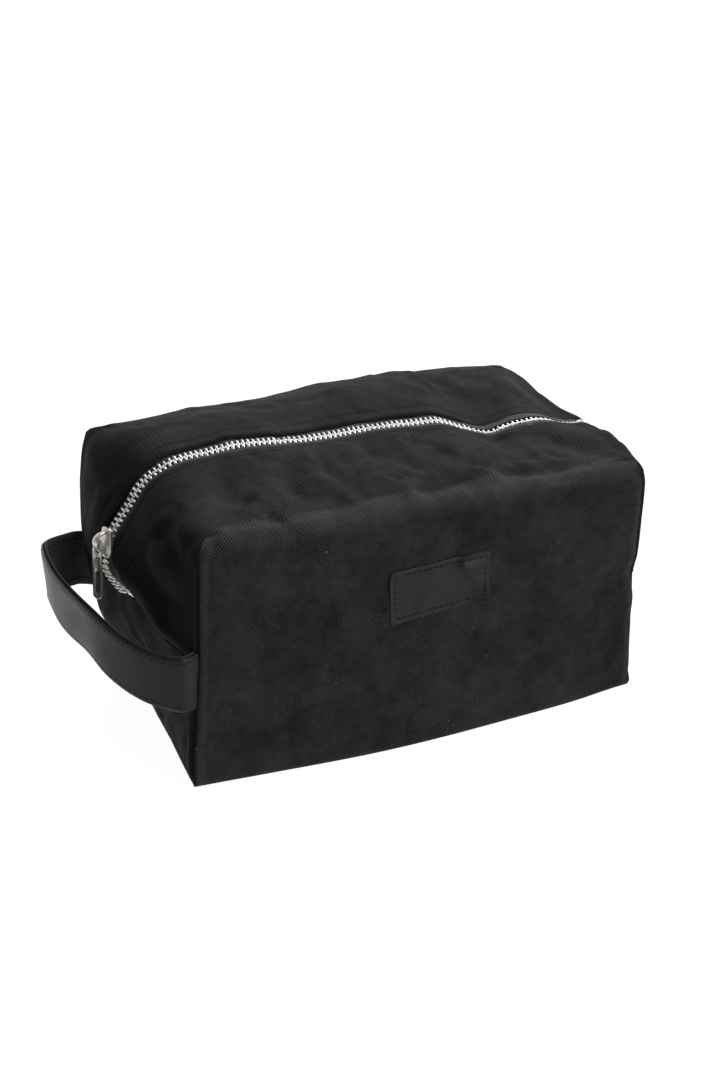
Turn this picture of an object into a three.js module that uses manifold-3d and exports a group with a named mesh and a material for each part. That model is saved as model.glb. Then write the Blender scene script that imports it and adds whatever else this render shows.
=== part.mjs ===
// A boxed-corner shaving kit bag: waxed canvas walls with a lining, a zip over the top and down both
// ends, a slider with a hanging pull tab, a two-ply leather carrying strap and a leather label.
// Millimetres, +Z up. The origin is at the centre of the underside, -Y is the front, and the strap is
// on the -X end.
import * as THREE from 'three';
import { mergeVertices } from 'three/addons/utils/BufferGeometryUtils.js';
import Module from 'manifold-3d';

const wasm = await Module();
wasm.setup();

// Bag
const LENGTH = 250;
const DEPTH = 154;
const WALL_TOP = 132;
const FOLD_RADIUS = 7;
const CORNER_RADIUS = 8;
const CANVAS = 1.5;
const LINING = 0.8;
const GAP = 0.3;
const SEAM_HEIGHT = 70;
const SEAM_LAP = 1.4;
const LINING_INSET = 3.2;
const LINING_CLEAR = 0.6;
const END_RUN = [0.003, 0.997];

// Bindings of the seams
const CORNER_BINDING = 2.4;
const CROSS_BINDING = 2.2;
const CROSS_BINDING_RAISE = 1.2;
const CROSS_BINDING_DROP = 0.4;
const CROSS_BINDING_INSET = 3.6;

// Zip: a straight run over the top that turns down over both ends on one radius
const ZIP_TOP = 142;
const ZIP_RADIUS = 40;
const ZIP_TURN_X = 101.3;
const ZIP_TURN_Z = ZIP_TOP - ZIP_RADIUS;
const ZIP_END_ANGLE = THREE.MathUtils.degToRad(50.7);
const TURN_STEPS = 14;
const ZIP_SLIT = 0.8;
const TEETH_EDGE = 3.8;
const TEETH_LIFT = 1.2;
const TAPE_EDGE = 10.5;
const TAPE_LIFT = 0.5;
const STOP_LENGTH = 0.036;
const STOP_LIFT = 1.7;
const CANVAS_LIFT = 2.3;
const CANVAS_EDGE = 6.5;
const FLAP_LEFT = -90;
const FLAP_RIGHT = ZIP_TURN_X;

// Slider and pull tab
const SLIDER_ANGLE = THREE.MathUtils.degToRad(7.4);
const SLIDER_LENGTH = 15;
const SLIDER_WIDTH = 10.6;
const SLIDER_SAG = 0.35;
const CHANNEL_HEIGHT = 4.2;
const TAPE_SLOT = 2.4;
const PLATE = 1.4;
const CROWN_WIDTH = 1.8;
const CROWN_OUTER = 4.6;
const CROWN_INNER = 3.2;
const CROWN_BAR = 1.3;
const PIVOT_LIFT = 6.8;
const TAB_LENGTH = 33;
const TAB_WIDTH = 5.5;
const TAB_THICKNESS = 1.5;
const TAB_LEAN = THREE.MathUtils.degToRad(3);

// Strap and label
const STRAP_WIDTH = 30;
const STRAP_PLY = 1.6;
const STRAP_REACH = 42.6;
const STRAP_ROOT = 0.6;
const STRAP_HALF_SPAN = DEPTH / 2 + 3.2;
const STRAP_SQUARENESS = 0.88;
const STRAP_LEAN = THREE.MathUtils.degToRad(5.4);
const STRAP_HEIGHTS = [59, 60, 65, 73, 75.5, 77.5, 70.5, 65, 63.5];
const LABEL_WIDTH = 56;
const LABEL_HEIGHT = 29;
const LABEL_THICKNESS = 1.6;
const LABEL_X = 6.7;
const LABEL_Z = 83.5;

const HALF_LENGTH = LENGTH / 2;
const HALF_DEPTH = DEPTH / 2;
const SEAM_CLEAR = CANVAS + GAP;
const ACROSS = HALF_DEPTH - FOLD_RADIUS - CANVAS_EDGE;

const canvas = { color: 0x2b2a29, roughness: 0.85, metalness: 0 };
const lining = { color: 0x3a3733, roughness: 0.9, metalness: 0 };
const webbing = { color: 0x1d1d1e, roughness: 0.8, metalness: 0 };
const nickel = { color: 0xb9b6ae, roughness: 0.3, metalness: 1 };
const leather = { color: 0x2a2a2a, roughness: 0.6, metalness: 0 };

const bag = new THREE.Group();

function add(name, geometry, finish) {
  const mesh = new THREE.Mesh(geometry, new THREE.MeshStandardMaterial(finish));
  mesh.name = name;
  bag.add(mesh);
  return mesh;
}

// Turns every face outwards.
function facingOut(geometry) {
  const place = geometry.attributes.position;
  const index = geometry.index.array;
  const corners = [new THREE.Vector3(), new THREE.Vector3(), new THREE.Vector3()];
  let volume = 0;
  for (let i = 0; i < index.length; i += 3) {
    corners.forEach((corner, k) => corner.fromBufferAttribute(place, index[i + k]));
    volume += corners[0].dot(corners[1].clone().cross(corners[2]));
  }
  if (volume < 0) {
    for (let i = 0; i < index.length; i += 3) {
      [index[i], index[i + 1]] = [index[i + 1], index[i]];
    }
  }
  geometry.computeVertexNormals();
  return geometry;
}

// A box with its three sides cut into steps, each corner put where place(u, v, w) says, all from 0 to 1.
function bent(steps, place) {
  const box = new THREE.BoxGeometry(1, 1, 1, ...steps);
  box.deleteAttribute('normal');
  box.deleteAttribute('uv');
  const geometry = mergeVertices(box.translate(0.5, 0.5, 0.5));
  const corners = geometry.attributes.position;
  for (let i = 0; i < corners.count; i += 1) {
    const spot = place(corners.getX(i), corners.getY(i), corners.getZ(i));
    corners.setXYZ(i, spot.x, spot.y, spot.z);
  }
  return facingOut(geometry);
}

// The direction that points out of the bag from a surface.
function outwards(surface, u, v) {
  const step = 1e-3;
  const along = surface(u + step, v).sub(surface(u - step, v));
  const over = surface(u, v + step).sub(surface(u, v - step));
  const normal = along.cross(over).normalize();
  const middle = new THREE.Vector3(0, 0, WALL_TOP / 2);
  const away = surface(u, v).sub(middle).dot(normal);
  return away < 0 ? normal.negate() : normal;
}

// A sheet of cloth under a surface, from one depth to another.
function sheet(surface, [u0, u1], [v0, v1], [top, under], [stepsU, stepsV]) {
  return bent([stepsU, stepsV, 1], (a, b, c) => {
    const u = THREE.MathUtils.lerp(u0, u1, a);
    const v = THREE.MathUtils.lerp(v0, v1, b);
    const depth = THREE.MathUtils.lerp(top, under, c);
    return surface(u, v).addScaledVector(outwards(surface, u, v), -depth);
  });
}

const rise = (t) => Math.sin(THREE.MathUtils.clamp(t, 0, 1) * Math.PI / 2);
const toZip = (y) => (HALF_DEPTH - Math.abs(y)) / (HALF_DEPTH - CANVAS_EDGE);

// How far the slack lower half of the left end is drawn in, most at the back of the base.
function drawnIn(y, z) {
  const back = THREE.MathUtils.clamp((y + HALF_DEPTH) / DEPTH, 0, 1);
  const low = Math.max(0, 1 - z / SEAM_HEIGHT);
  return (2 + 6 * back + 14 * back ** 2) * low ** 2.2;
}

const leftEdge = (y, z) => -HALF_LENGTH + drawnIn(y, z);
const rightEdge = () => HALF_LENGTH;

// The zip's own line on the left end, from the seam halfway up to where the flaps begin.
function zipLine(flapX, lift) {
  const line = new THREE.Path();
  const start = Math.PI + ZIP_END_ANGLE;
  line.absarc(-ZIP_TURN_X, ZIP_TURN_Z, ZIP_RADIUS + lift, start, Math.PI / 2, true);
  if (flapX < ZIP_TURN_X) {
    line.lineTo(-flapX, ZIP_TOP + lift);
  }
  return line;
}

// The bag's edge on the left end: up the box seam, round the corner and along the fold.
function boxLine(flapX) {
  const line = new THREE.Path();
  const cornerX = -HALF_LENGTH + CORNER_RADIUS;
  const cornerZ = WALL_TOP - CORNER_RADIUS;
  line.moveTo(-HALF_LENGTH, SEAM_HEIGHT);
  line.lineTo(-HALF_LENGTH, cornerZ);
  line.absarc(cornerX, cornerZ, CORNER_RADIUS, Math.PI, Math.PI / 2, true);
  line.lineTo(-flapX, WALL_TOP);
  return line;
}

// How far forward the front wall stands at a height: straight up, then round the fold.
function wallDepth(z) {
  const up = Math.max(0, z - WALL_TOP + FOLD_RADIUS);
  return HALF_DEPTH - FOLD_RADIUS + Math.sqrt(Math.max(0, FOLD_RADIUS ** 2 - up ** 2));
}

// The upper half of an end: s runs along the zip from the seam, t from the box edge to the zip.
function endSurface(side, face, flapX) {
  const zip = zipLine(flapX, CANVAS_LIFT);
  const box = boxLine(flapX);
  return (s, t) => {
    const at = THREE.MathUtils.clamp(s, 0, 1);
    const from = box.getPointAt(at);
    const to = zip.getPointAt(at);
    const spot = from.clone().lerp(to, rise(t));
    const y = THREE.MathUtils.lerp(wallDepth(from.y), CANVAS_EDGE, t);
    return new THREE.Vector3(-side * spot.x, face * y, spot.y);
  };
}

// The top between the ends: u is the place along X, t runs from the fold to the zip.
function topSurface(face) {
  return (u, t) => {
    const y = THREE.MathUtils.lerp(HALF_DEPTH - FOLD_RADIUS, CANVAS_EDGE, t);
    const z = THREE.MathUtils.lerp(WALL_TOP, ZIP_TOP + CANVAS_LIFT, rise(t));
    return new THREE.Vector3(u, face * y, z);
  };
}

// A front or back wall: a runs from the left edge to the right, b up the wall and round the fold.
function wallSurface(face, inset) {
  const straight = WALL_TOP - FOLD_RADIUS;
  return (a, b) => {
    const turn = Math.max(0, b - 0.5) * Math.PI;
    const z = b < 0.5 ? straight * b * 2 : straight + FOLD_RADIUS * Math.sin(turn);
    const y = HALF_DEPTH - FOLD_RADIUS + FOLD_RADIUS * Math.cos(turn);
    const up = Math.max(0, z - WALL_TOP + CORNER_RADIUS);
    const round = CORNER_RADIUS - Math.sqrt(Math.max(0, CORNER_RADIUS ** 2 - up ** 2));
    const left = leftEdge(face * HALF_DEPTH, z) + round + inset;
    const right = rightEdge() - round - inset;
    return new THREE.Vector3(THREE.MathUtils.lerp(left, right, a), face * y, z);
  };
}

// The lower half of an end, over y and z.
function lowerEnd(side) {
  const outAtSeam = 3.1;
  const slack = 2;
  return (y, z) => {
    const up = THREE.MathUtils.clamp(z / SEAM_HEIGHT, 0, 1);
    const full = outAtSeam * up ** 2 + (side > 0 ? slack * Math.sin(Math.PI * up) : 0);
    const edge = side < 0 ? leftEdge(y, z) : rightEdge();
    return new THREE.Vector3(edge + side * full * rise(toZip(y)), y, z);
  };
}

const sides = [['left', -1, -FLAP_LEFT], ['right', 1, FLAP_RIGHT]];
const faces = [['front', -1], ['back', 1]];

// Walls and floor
for (const [face, way] of faces) {
  const outer = [0, CANVAS];
  const inner = [SEAM_CLEAR, SEAM_CLEAR + LINING];
  add(`${face}_panel`, sheet(wallSurface(way, 0), [0, 1], [0, 1], outer, [4, 14]), canvas);
  const lined = sheet(wallSurface(way, LINING_INSET), [0, 1], [0.012, 0.49], inner, [2, 6]);
  add(`${face}_lining`, lined, lining);
}

function floorPanel(inset, low, thickness) {
  return bent([1, 10, 1], (a, b, c) => {
    const y = THREE.MathUtils.lerp(-1, 1, b) * (HALF_DEPTH - inset);
    const left = leftEdge(y, low) + inset;
    const right = rightEdge() - inset;
    return new THREE.Vector3(THREE.MathUtils.lerp(left, right, a), y, low + c * thickness);
  });
}

add('bottom_panel', floorPanel(SEAM_CLEAR + 0.1, 0, CANVAS), canvas);
add('bottom_lining', floorPanel(SEAM_CLEAR + LINING + 1, SEAM_CLEAR, LINING), lining);

// Ends, and the bindings of their seams
const LOWER_TOP = SEAM_HEIGHT - SEAM_LAP;
for (const [end, side, flapX] of sides) {
  const lower = lowerEnd(side);
  const width = HALF_DEPTH - SEAM_CLEAR;
  const outer = [0, CANVAS];
  const inner = [SEAM_CLEAR, SEAM_CLEAR + LINING];
  add(`${end}_end_lower`, sheet(lower, [-width, width], [0, LOWER_TOP], outer, [8, 6]), canvas);
  const narrow = width - LINING - LINING_CLEAR;
  const lined = sheet(lower, [-narrow, narrow], [LINING_INSET, LOWER_TOP], inner, [8, 4]);
  add(`${end}_end_lower_lining`, lined, lining);
  for (const [face, way] of faces) {
    const surface = endSurface(side, way, flapX);
    const shell = sheet(surface, END_RUN, [SEAM_CLEAR / ACROSS, 1], [0, CANVAS], [TURN_STEPS, 6]);
    add(`${end}_end_${face}`, shell, canvas);
    const depth = CANVAS_LIFT + TAPE_LIFT + GAP;
    const within = (SEAM_CLEAR + LINING + LINING_CLEAR) / ACROSS;
    const cloth = sheet(surface, END_RUN, [within, 1], [depth, depth + LINING], [TURN_STEPS, 4]);
    add(`${end}_end_${face}_lining`, cloth, lining);
    const bound = bent([1, 1, 8], (a, b, c) => {
      const y = way * (HALF_DEPTH - b * CORNER_BINDING);
      const z = THREE.MathUtils.lerp(1, WALL_TOP - CORNER_RADIUS, c);
      const edge = lower(y, Math.min(z, LOWER_TOP)).x;
      return new THREE.Vector3(edge + side * (2 * GAP + b + a * SEAM_LAP), y, z);
    });
    add(`corner_binding_${face}_${end}`, bound, canvas);
  }
  const crossing = bent([12, 1, 1], (a, b, c) => {
    const y = THREE.MathUtils.lerp(-1, 1, a) * (HALF_DEPTH - CROSS_BINDING_INSET);
    const z = LOWER_TOP - CROSS_BINDING_DROP - b * CROSS_BINDING;
    const spot = lower(y, z);
    return spot.setX(spot.x + side * (GAP + c * CROSS_BINDING_RAISE));
  });
  add(`end_binding_${end}`, crossing, canvas);
}

// Flaps of the top
for (const [face, way] of faces) {
  const surface = topSurface(way);
  const reach = [GAP / ACROSS, 1];
  const span = [FLAP_LEFT + GAP, FLAP_RIGHT - GAP];
  add(`${face}_flap`, sheet(surface, span, reach, [0, CANVAS], [1, 8]), canvas);
  const depth = CANVAS_LIFT + TAPE_LIFT + GAP;
  const cloth = sheet(surface, span, reach, [depth, depth + LINING], [1, 6]);
  add(`${face}_flap_lining`, cloth, lining);
}

// A strip that follows the zip, between two places across and two lifts.
function endStrip(side, way, flapX, [s0, s1], [y0, y1], lift, steps) {
  const upper = zipLine(flapX, lift);
  const lower = zipLine(flapX, -lift);
  return bent([steps, 1, 1], (a, b, c) => {
    const s = THREE.MathUtils.lerp(s0, s1, a);
    const spot = lower.getPointAt(s).lerp(upper.getPointAt(s), c);
    return new THREE.Vector3(-side * spot.x, way * THREE.MathUtils.lerp(y0, y1, b), spot.y);
  });
}

function topStrip(way, [y0, y1], lift) {
  return bent([1, 1, 1], (a, b, c) => {
    const x = THREE.MathUtils.lerp(FLAP_LEFT + GAP, FLAP_RIGHT - GAP, a);
    const z = ZIP_TOP + THREE.MathUtils.lerp(-lift, lift, c);
    return new THREE.Vector3(x, way * THREE.MathUtils.lerp(y0, y1, b), z);
  });
}

const teethAcross = [ZIP_SLIT, TEETH_EDGE];
const tapeAcross = [TEETH_EDGE + GAP, TAPE_EDGE];
const stopRun = [END_RUN[0], STOP_LENGTH];
for (const [face, way] of faces) {
  for (const [end, side, flapX] of sides) {
    const tape = endStrip(side, way, flapX, END_RUN, tapeAcross, TAPE_LIFT, TURN_STEPS);
    add(`zip_tape_${end}_${face}`, tape, webbing);
    const run = [STOP_LENGTH + 0.006, END_RUN[1]];
    const teeth = endStrip(side, way, flapX, run, teethAcross, TEETH_LIFT, TURN_STEPS);
    add(`zip_teeth_${end}_${face}`, teeth, nickel);
  }
  add(`zip_tape_top_${face}`, topStrip(way, tapeAcross, TAPE_LIFT), webbing);
  add(`zip_teeth_top_${face}`, topStrip(way, teethAcross, TEETH_LIFT), nickel);
  const stop = endStrip(-1, way, -FLAP_LEFT, stopRun, teethAcross, STOP_LIFT, 2);
  add(`zip_top_stop_${face}`, stop, nickel);
}
const bothRows = [-TEETH_EDGE, TEETH_EDGE];
const bottomStop = endStrip(1, 1, FLAP_RIGHT, stopRun, bothRows, STOP_LIFT, 2);
add('zip_bottom_stop', bottomStop, nickel);

// Slider: its own X runs towards the open end of the zip, and its Z away from the bag.
function asSolid(geometry) {
  const plain = geometry.clone();
  plain.deleteAttribute('normal');
  plain.deleteAttribute('uv');
  const merged = mergeVertices(plain, 1e-4);
  const vertProperties = new Float32Array(merged.attributes.position.array);
  const triVerts = new Uint32Array(merged.index.array);
  return new wasm.Manifold(new wasm.Mesh({ numProp: 3, vertProperties, triVerts }));
}

function fromSolid(solid) {
  const { vertProperties, triVerts } = solid.getMesh();
  const geometry = new THREE.BufferGeometry();
  geometry.setAttribute('position', new THREE.BufferAttribute(vertProperties, 3));
  geometry.setIndex(new THREE.BufferAttribute(triVerts, 1));
  geometry.computeVertexNormals();
  return geometry;
}

// The plates are wide where the two rows come in and narrow where they leave meshed.
function plateShape() {
  const nose = SLIDER_LENGTH / 2;
  const wide = SLIDER_WIDTH / 2;
  const shape = new THREE.Shape();
  shape.moveTo(-nose, -wide + 1.2);
  shape.quadraticCurveTo(-nose, -wide + 0.4, -nose + 1.5, -wide + 0.3);
  shape.lineTo(nose - 3, -wide);
  shape.quadraticCurveTo(nose, -wide, nose, -wide + 3);
  shape.lineTo(nose, wide - 3);
  shape.quadraticCurveTo(nose, wide, nose - 3, wide);
  shape.lineTo(-nose + 1.5, wide - 0.3);
  shape.quadraticCurveTo(-nose, wide - 0.4, -nose, wide - 1.2);
  return shape;
}

function plate(bottom) {
  const options = { depth: PLATE, bevelEnabled: false, curveSegments: 4 };
  return new THREE.ExtrudeGeometry(plateShape(), options).translate(0, 0, bottom);
}

function crownArch(base) {
  const top = PIVOT_LIFT + 3.1;
  const arch = new THREE.Shape();
  arch.moveTo(CROWN_OUTER, base);
  arch.absellipse(0, base, CROWN_OUTER, top - base, 0, Math.PI, false);
  arch.lineTo(-CROWN_INNER, base);
  arch.absellipse(0, base, CROWN_INNER, top - CROWN_BAR - base, Math.PI, 0, true);
  const options = { depth: CROWN_WIDTH, bevelEnabled: false, curveSegments: 12 };
  const geometry = new THREE.ExtrudeGeometry(arch, options);
  return geometry.translate(0, 0, -CROWN_WIDTH / 2).rotateX(Math.PI / 2);
}

function sliderBody() {
  const inner = CHANNEL_HEIGHT / 2;
  const slot = TAPE_SLOT / 2;
  const top = -SLIDER_SAG + inner;
  const pieces = [plate(top), plate(-SLIDER_SAG - inner - PLATE)];
  const post = new THREE.BoxGeometry(3, 1, CHANNEL_HEIGHT + PLATE);
  pieces.push(post.translate(SLIDER_LENGTH / 2 - 2, 0, -SLIDER_SAG));
  const flangeHeight = inner - slot + PLATE / 2;
  for (const way of [-1, 1]) {
    for (const up of [-1, 1]) {
      const flange = new THREE.BoxGeometry(SLIDER_LENGTH - 4, 0.9, flangeHeight);
      const z = -SLIDER_SAG + up * (slot + flangeHeight / 2);
      pieces.push(flange.translate(-0.6, way * (SLIDER_WIDTH / 2 - 0.75), z));
    }
  }
  pieces.push(crownArch(top + PLATE - 0.2));
  const solids = pieces.map((piece) => asSolid(piece));
  return fromSolid(solids.reduce((all, next) => all.add(next)));
}

function framed(mesh, xWay, zWay, origin) {
  const yWay = zWay.clone().cross(xWay);
  mesh.quaternion.setFromRotationMatrix(new THREE.Matrix4().makeBasis(xWay, yWay, zWay));
  mesh.position.copy(origin);
}

const outOfZip = new THREE.Vector3(-Math.cos(SLIDER_ANGLE), 0, Math.sin(SLIDER_ANGLE));
const downZip = new THREE.Vector3(-Math.sin(SLIDER_ANGLE), 0, -Math.cos(SLIDER_ANGLE));
const turnCentre = new THREE.Vector3(-ZIP_TURN_X, 0, ZIP_TURN_Z);
const sliderSpot = turnCentre.clone().addScaledVector(outOfZip, ZIP_RADIUS);
framed(add('slider_body', sliderBody(), nickel), downZip, outOfZip, sliderSpot);

// Pull tab: a plate with an eye for the crown and a long slot in its lower half
function roundedSlot(x, halfWidth, from, to) {
  const hole = new THREE.Path();
  hole.moveTo(x - halfWidth, from + halfWidth);
  hole.absarc(x, from + halfWidth, halfWidth, Math.PI, Math.PI * 2, false);
  hole.absarc(x, to - halfWidth, halfWidth, 0, Math.PI, false);
  return hole;
}

function pullTab() {
  const half = TAB_WIDTH / 2;
  const above = 1.2;
  const low = above - TAB_LENGTH;
  const outline = new THREE.Shape();
  outline.moveTo(-half + 0.8, above);
  outline.quadraticCurveTo(-half, above, -half, above - 1);
  outline.lineTo(-half, low + half);
  outline.absarc(0, low + half, half, Math.PI, Math.PI * 2, false);
  outline.lineTo(half, above - 1);
  outline.quadraticCurveTo(half, above, half - 0.8, above);
  outline.holes.push(roundedSlot(0, 1.4, -6.6, -0.8));
  outline.holes.push(roundedSlot(0, 1.3, low + 2.2, low + 15.5));
  const options = { depth: TAB_THICKNESS, bevelEnabled: false, curveSegments: 8 };
  return new THREE.ExtrudeGeometry(outline, options).translate(0, 0, -TAB_THICKNESS / 2);
}

const pivot = turnCentre.clone().addScaledVector(outOfZip, ZIP_RADIUS + PIVOT_LIFT);
const tabUp = new THREE.Vector3(Math.sin(TAB_LEAN), 0, Math.cos(TAB_LEAN));
const tabOut = new THREE.Vector3(-Math.cos(TAB_LEAN), 0, Math.sin(TAB_LEAN));
framed(add('pull_tab', pullTab(), nickel), tabUp.clone().cross(tabOut), tabOut, pivot);

// Strap: a band sewn outside the two box seams of the left end, standing out in a half oval
const heights = new THREE.SplineCurve(
  STRAP_HEIGHTS.map((z, i) => new THREE.Vector2(i / (STRAP_HEIGHTS.length - 1), z)),
);

function strapPly(from, to) {
  return bent([28, 2, 1], (a, b, c) => {
    const turn = (a - 0.5) * Math.PI;
    const reach = STRAP_REACH * Math.cos(turn);
    const middle = new THREE.Vector3(
      -HALF_LENGTH - STRAP_ROOT - reach,
      STRAP_HALF_SPAN * Math.sign(turn) * Math.abs(Math.sin(turn)) ** STRAP_SQUARENESS,
      heights.getPoint(a).y,
    );
    const out = new THREE.Vector3(
      -Math.cos(turn) / STRAP_REACH,
      Math.sin(turn) / STRAP_HALF_SPAN,
      0,
    ).normalize();
    const lean = STRAP_LEAN * Math.cos(turn);
    const up = new THREE.Vector3(0, 0, Math.cos(lean)).addScaledVector(out, Math.sin(lean));
    const through = out.multiplyScalar(Math.cos(lean)).setZ(-Math.sin(lean));
    middle.addScaledVector(up, (b - 0.5) * STRAP_WIDTH);
    return middle.addScaledVector(through, THREE.MathUtils.lerp(from, to, c));
  });
}

add('strap_leather', strapPly(GAP / 2, GAP / 2 + STRAP_PLY), leather);
add('strap_backing', strapPly(-GAP / 2, -GAP / 2 - STRAP_PLY), leather);

// Label: a plain leather patch on the front wall
function labelPatch() {
  const halfWidth = LABEL_WIDTH / 2;
  const halfHeight = LABEL_HEIGHT / 2;
  const corner = 2.2;
  const outline = new THREE.Shape();
  outline.moveTo(-halfWidth + corner, -halfHeight);
  outline.absarc(halfWidth - corner, -halfHeight + corner, corner, -Math.PI / 2, 0, false);
  outline.absarc(halfWidth - corner, halfHeight - corner, corner, 0, Math.PI / 2, false);
  outline.absarc(-halfWidth + corner, halfHeight - corner, corner, Math.PI / 2, Math.PI, false);
  outline.absarc(-halfWidth + corner, -halfHeight + corner, corner, Math.PI, Math.PI * 1.5, false);
  const options = { depth: LABEL_THICKNESS, bevelEnabled: false, curveSegments: 4 };
  return new THREE.ExtrudeGeometry(outline, options).rotateX(Math.PI / 2);
}

const label = add('label_patch', labelPatch(), leather);
label.position.set(LABEL_X, -HALF_DEPTH - GAP, LABEL_Z);

export default bag;
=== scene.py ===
import math

import bmesh
import bpy
import numpy as np
from mathutils import Matrix, Vector, noise


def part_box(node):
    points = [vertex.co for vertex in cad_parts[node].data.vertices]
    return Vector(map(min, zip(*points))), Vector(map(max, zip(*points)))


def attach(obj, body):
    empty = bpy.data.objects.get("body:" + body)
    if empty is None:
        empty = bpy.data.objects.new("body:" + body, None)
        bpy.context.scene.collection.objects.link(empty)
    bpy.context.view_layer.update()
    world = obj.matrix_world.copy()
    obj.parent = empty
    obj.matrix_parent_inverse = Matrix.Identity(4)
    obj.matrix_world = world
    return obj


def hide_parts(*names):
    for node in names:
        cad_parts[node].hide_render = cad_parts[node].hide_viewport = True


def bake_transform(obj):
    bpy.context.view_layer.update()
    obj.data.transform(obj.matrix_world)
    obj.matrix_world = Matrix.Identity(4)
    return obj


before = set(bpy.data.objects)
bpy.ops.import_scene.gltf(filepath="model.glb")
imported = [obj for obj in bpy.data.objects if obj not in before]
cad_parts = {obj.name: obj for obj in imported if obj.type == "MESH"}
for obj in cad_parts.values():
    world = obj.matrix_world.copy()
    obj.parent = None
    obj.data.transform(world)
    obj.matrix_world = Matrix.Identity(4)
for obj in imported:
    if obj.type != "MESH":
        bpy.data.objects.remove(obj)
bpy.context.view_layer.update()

# Everything below is worked out in millimetres and turned into metres when a mesh is made.
MM = 0.001


def box_mm(node):
    low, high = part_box(node)
    return np.array(low) / MM, np.array(high) / MM


# Sizes of the bag, from the frame
wall_low, wall_high = box_mm("front_panel")
teeth_low, teeth_high = box_mm("zip_teeth_top_front")
HALF_LENGTH = wall_high[0]
HALF_DEPTH = -wall_low[1]
WALL_TOP = wall_high[2]
FOLD_RADIUS = HALF_DEPTH + wall_high[1]
ZIP_TOP = (teeth_low[2] + teeth_high[2]) / 2

# The zip's line: a straight run over the top that turns down both ends
ZIP_RADIUS = 40.0
ZIP_TURN_X = 101.3
ZIP_TURN_Z = ZIP_TOP - ZIP_RADIUS
ZIP_END = math.radians(50.7)
ZIP_ARC = ZIP_RADIUS * (ZIP_END + math.pi / 2)
ZIP_RUN = 2 * (ZIP_ARC + ZIP_TURN_X)
SEAM_HEIGHT = 70.0
CORNER_RADIUS = 8.0
CANVAS_LIFT = 2.3
SLIDER_ANGLE = math.radians(7.4)
SLIDER_RUN = ZIP_RADIUS * (ZIP_END + SLIDER_ANGLE)
FLAT_END = 90.0

# The tops of both halves are cut into left and right pieces at this X
SPLIT_X = 0.0


def mix(a, b, t):
    return a + (b - a) * t


def smooth(t):
    t = min(1.0, max(0.0, t))
    return t * t * (3 - 2 * t)


def bell(x, middle, width):
    return math.exp(-(((x - middle) / width) ** 2))


# ---------------------------------------------------------------------------------------------
# The bag's form
# ---------------------------------------------------------------------------------------------


def drawn_in(y, z):
    """How far the slack lower half of the left end is drawn in."""
    back = min(1.0, max(0.0, (y + HALF_DEPTH) / (2 * HALF_DEPTH)))
    low = max(0.0, 1 - z / SEAM_HEIGHT)
    return (2 + 6 * back + 14 * back**2) * low**2.2


def tucked(z):
    """How far the foot of each end is turned under."""
    return 1.7 * math.exp(-((z / 2.0) ** 2))


def zip_point(run, lift=0.0):
    """x, z over the zip's line at a distance along it from the left end's seam."""
    mirrored = run > ZIP_RUN / 2
    here = ZIP_RUN - run if mirrored else run
    turn = here / ZIP_RADIUS - ZIP_END
    if turn < math.pi / 2:
        x = -ZIP_TURN_X - (ZIP_RADIUS + lift) * math.cos(turn)
        z = ZIP_TURN_Z + (ZIP_RADIUS + lift) * math.sin(turn)
    else:
        x = -ZIP_TURN_X + here - ZIP_ARC
        z = ZIP_TOP + lift
    return (-x if mirrored else x), z


EDGE_UP = WALL_TOP - CORNER_RADIUS - SEAM_HEIGHT
EDGE_TURN = CORNER_RADIUS * math.pi / 2
EDGE_CORNER = EDGE_UP + EDGE_TURN
EDGE_TOP = 2 * (HALF_LENGTH - CORNER_RADIUS)
EDGE_RUN = 2 * EDGE_CORNER + EDGE_TOP


def edge_point(run):
    """x, z along the bag's edge: up the left box seam, along the fold and down the right seam."""
    mirrored = run > EDGE_RUN / 2
    here = EDGE_RUN - run if mirrored else run
    if here < EDGE_UP:
        x, z = -HALF_LENGTH, SEAM_HEIGHT + here
    elif here < EDGE_CORNER:
        turn = (here - EDGE_UP) / CORNER_RADIUS
        x = -HALF_LENGTH + CORNER_RADIUS * (1 - math.cos(turn))
        z = WALL_TOP - CORNER_RADIUS * (1 - math.sin(turn))
    else:
        x = -HALF_LENGTH + CORNER_RADIUS + here - EDGE_CORNER
        z = WALL_TOP
    return (-x if mirrored else x), z


def zip_run_at(edge):
    """The distance along the zip that belongs to a distance along the edge."""
    mirrored = edge > EDGE_RUN / 2
    here = EDGE_RUN - edge if mirrored else edge
    edge_end = EDGE_CORNER + HALF_LENGTH - CORNER_RADIUS - FLAT_END
    zip_end = ZIP_ARC + ZIP_TURN_X - FLAT_END
    run = here / edge_end * zip_end if here < edge_end else zip_end + here - edge_end
    return ZIP_RUN - run if mirrored else run


def wall_depth(z):
    up = max(0.0, z - WALL_TOP + FOLD_RADIUS)
    return HALF_DEPTH - FOLD_RADIUS + math.sqrt(max(0.0, FOLD_RADIUS**2 - up**2))


def parted(run):
    """How far each row stands off the middle where the zip is open, below the slider."""
    return 1.7 * smooth((SLIDER_RUN - 7 - run) / 26)


CANVAS_EDGE = {-1: 6.0, 1: 7.6}
EDGE_LIFT = {-1: 1.15, 1: CANVAS_LIFT + 0.9}
ZIP_RAISE = 1.2


def crown(run, t, face):
    """The top and upper ends, before they settle: run along the edge, t from the edge to the zip."""
    ex, ez = edge_point(run)
    along = zip_run_at(run)
    low = 1.0 * smooth((SLIDER_RUN - along) / 20) * (face < 0)
    zx, zz = zip_point(along, EDGE_LIFT[face] - low)
    rise = math.sin(min(1.0, t) * math.pi / 2)
    y = mix(wall_depth(ez), CANVAS_EDGE[face] + 0.6 * parted(along), t)
    return np.array([mix(ex, zx, rise), face * y, mix(ez, zz, rise)])


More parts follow.
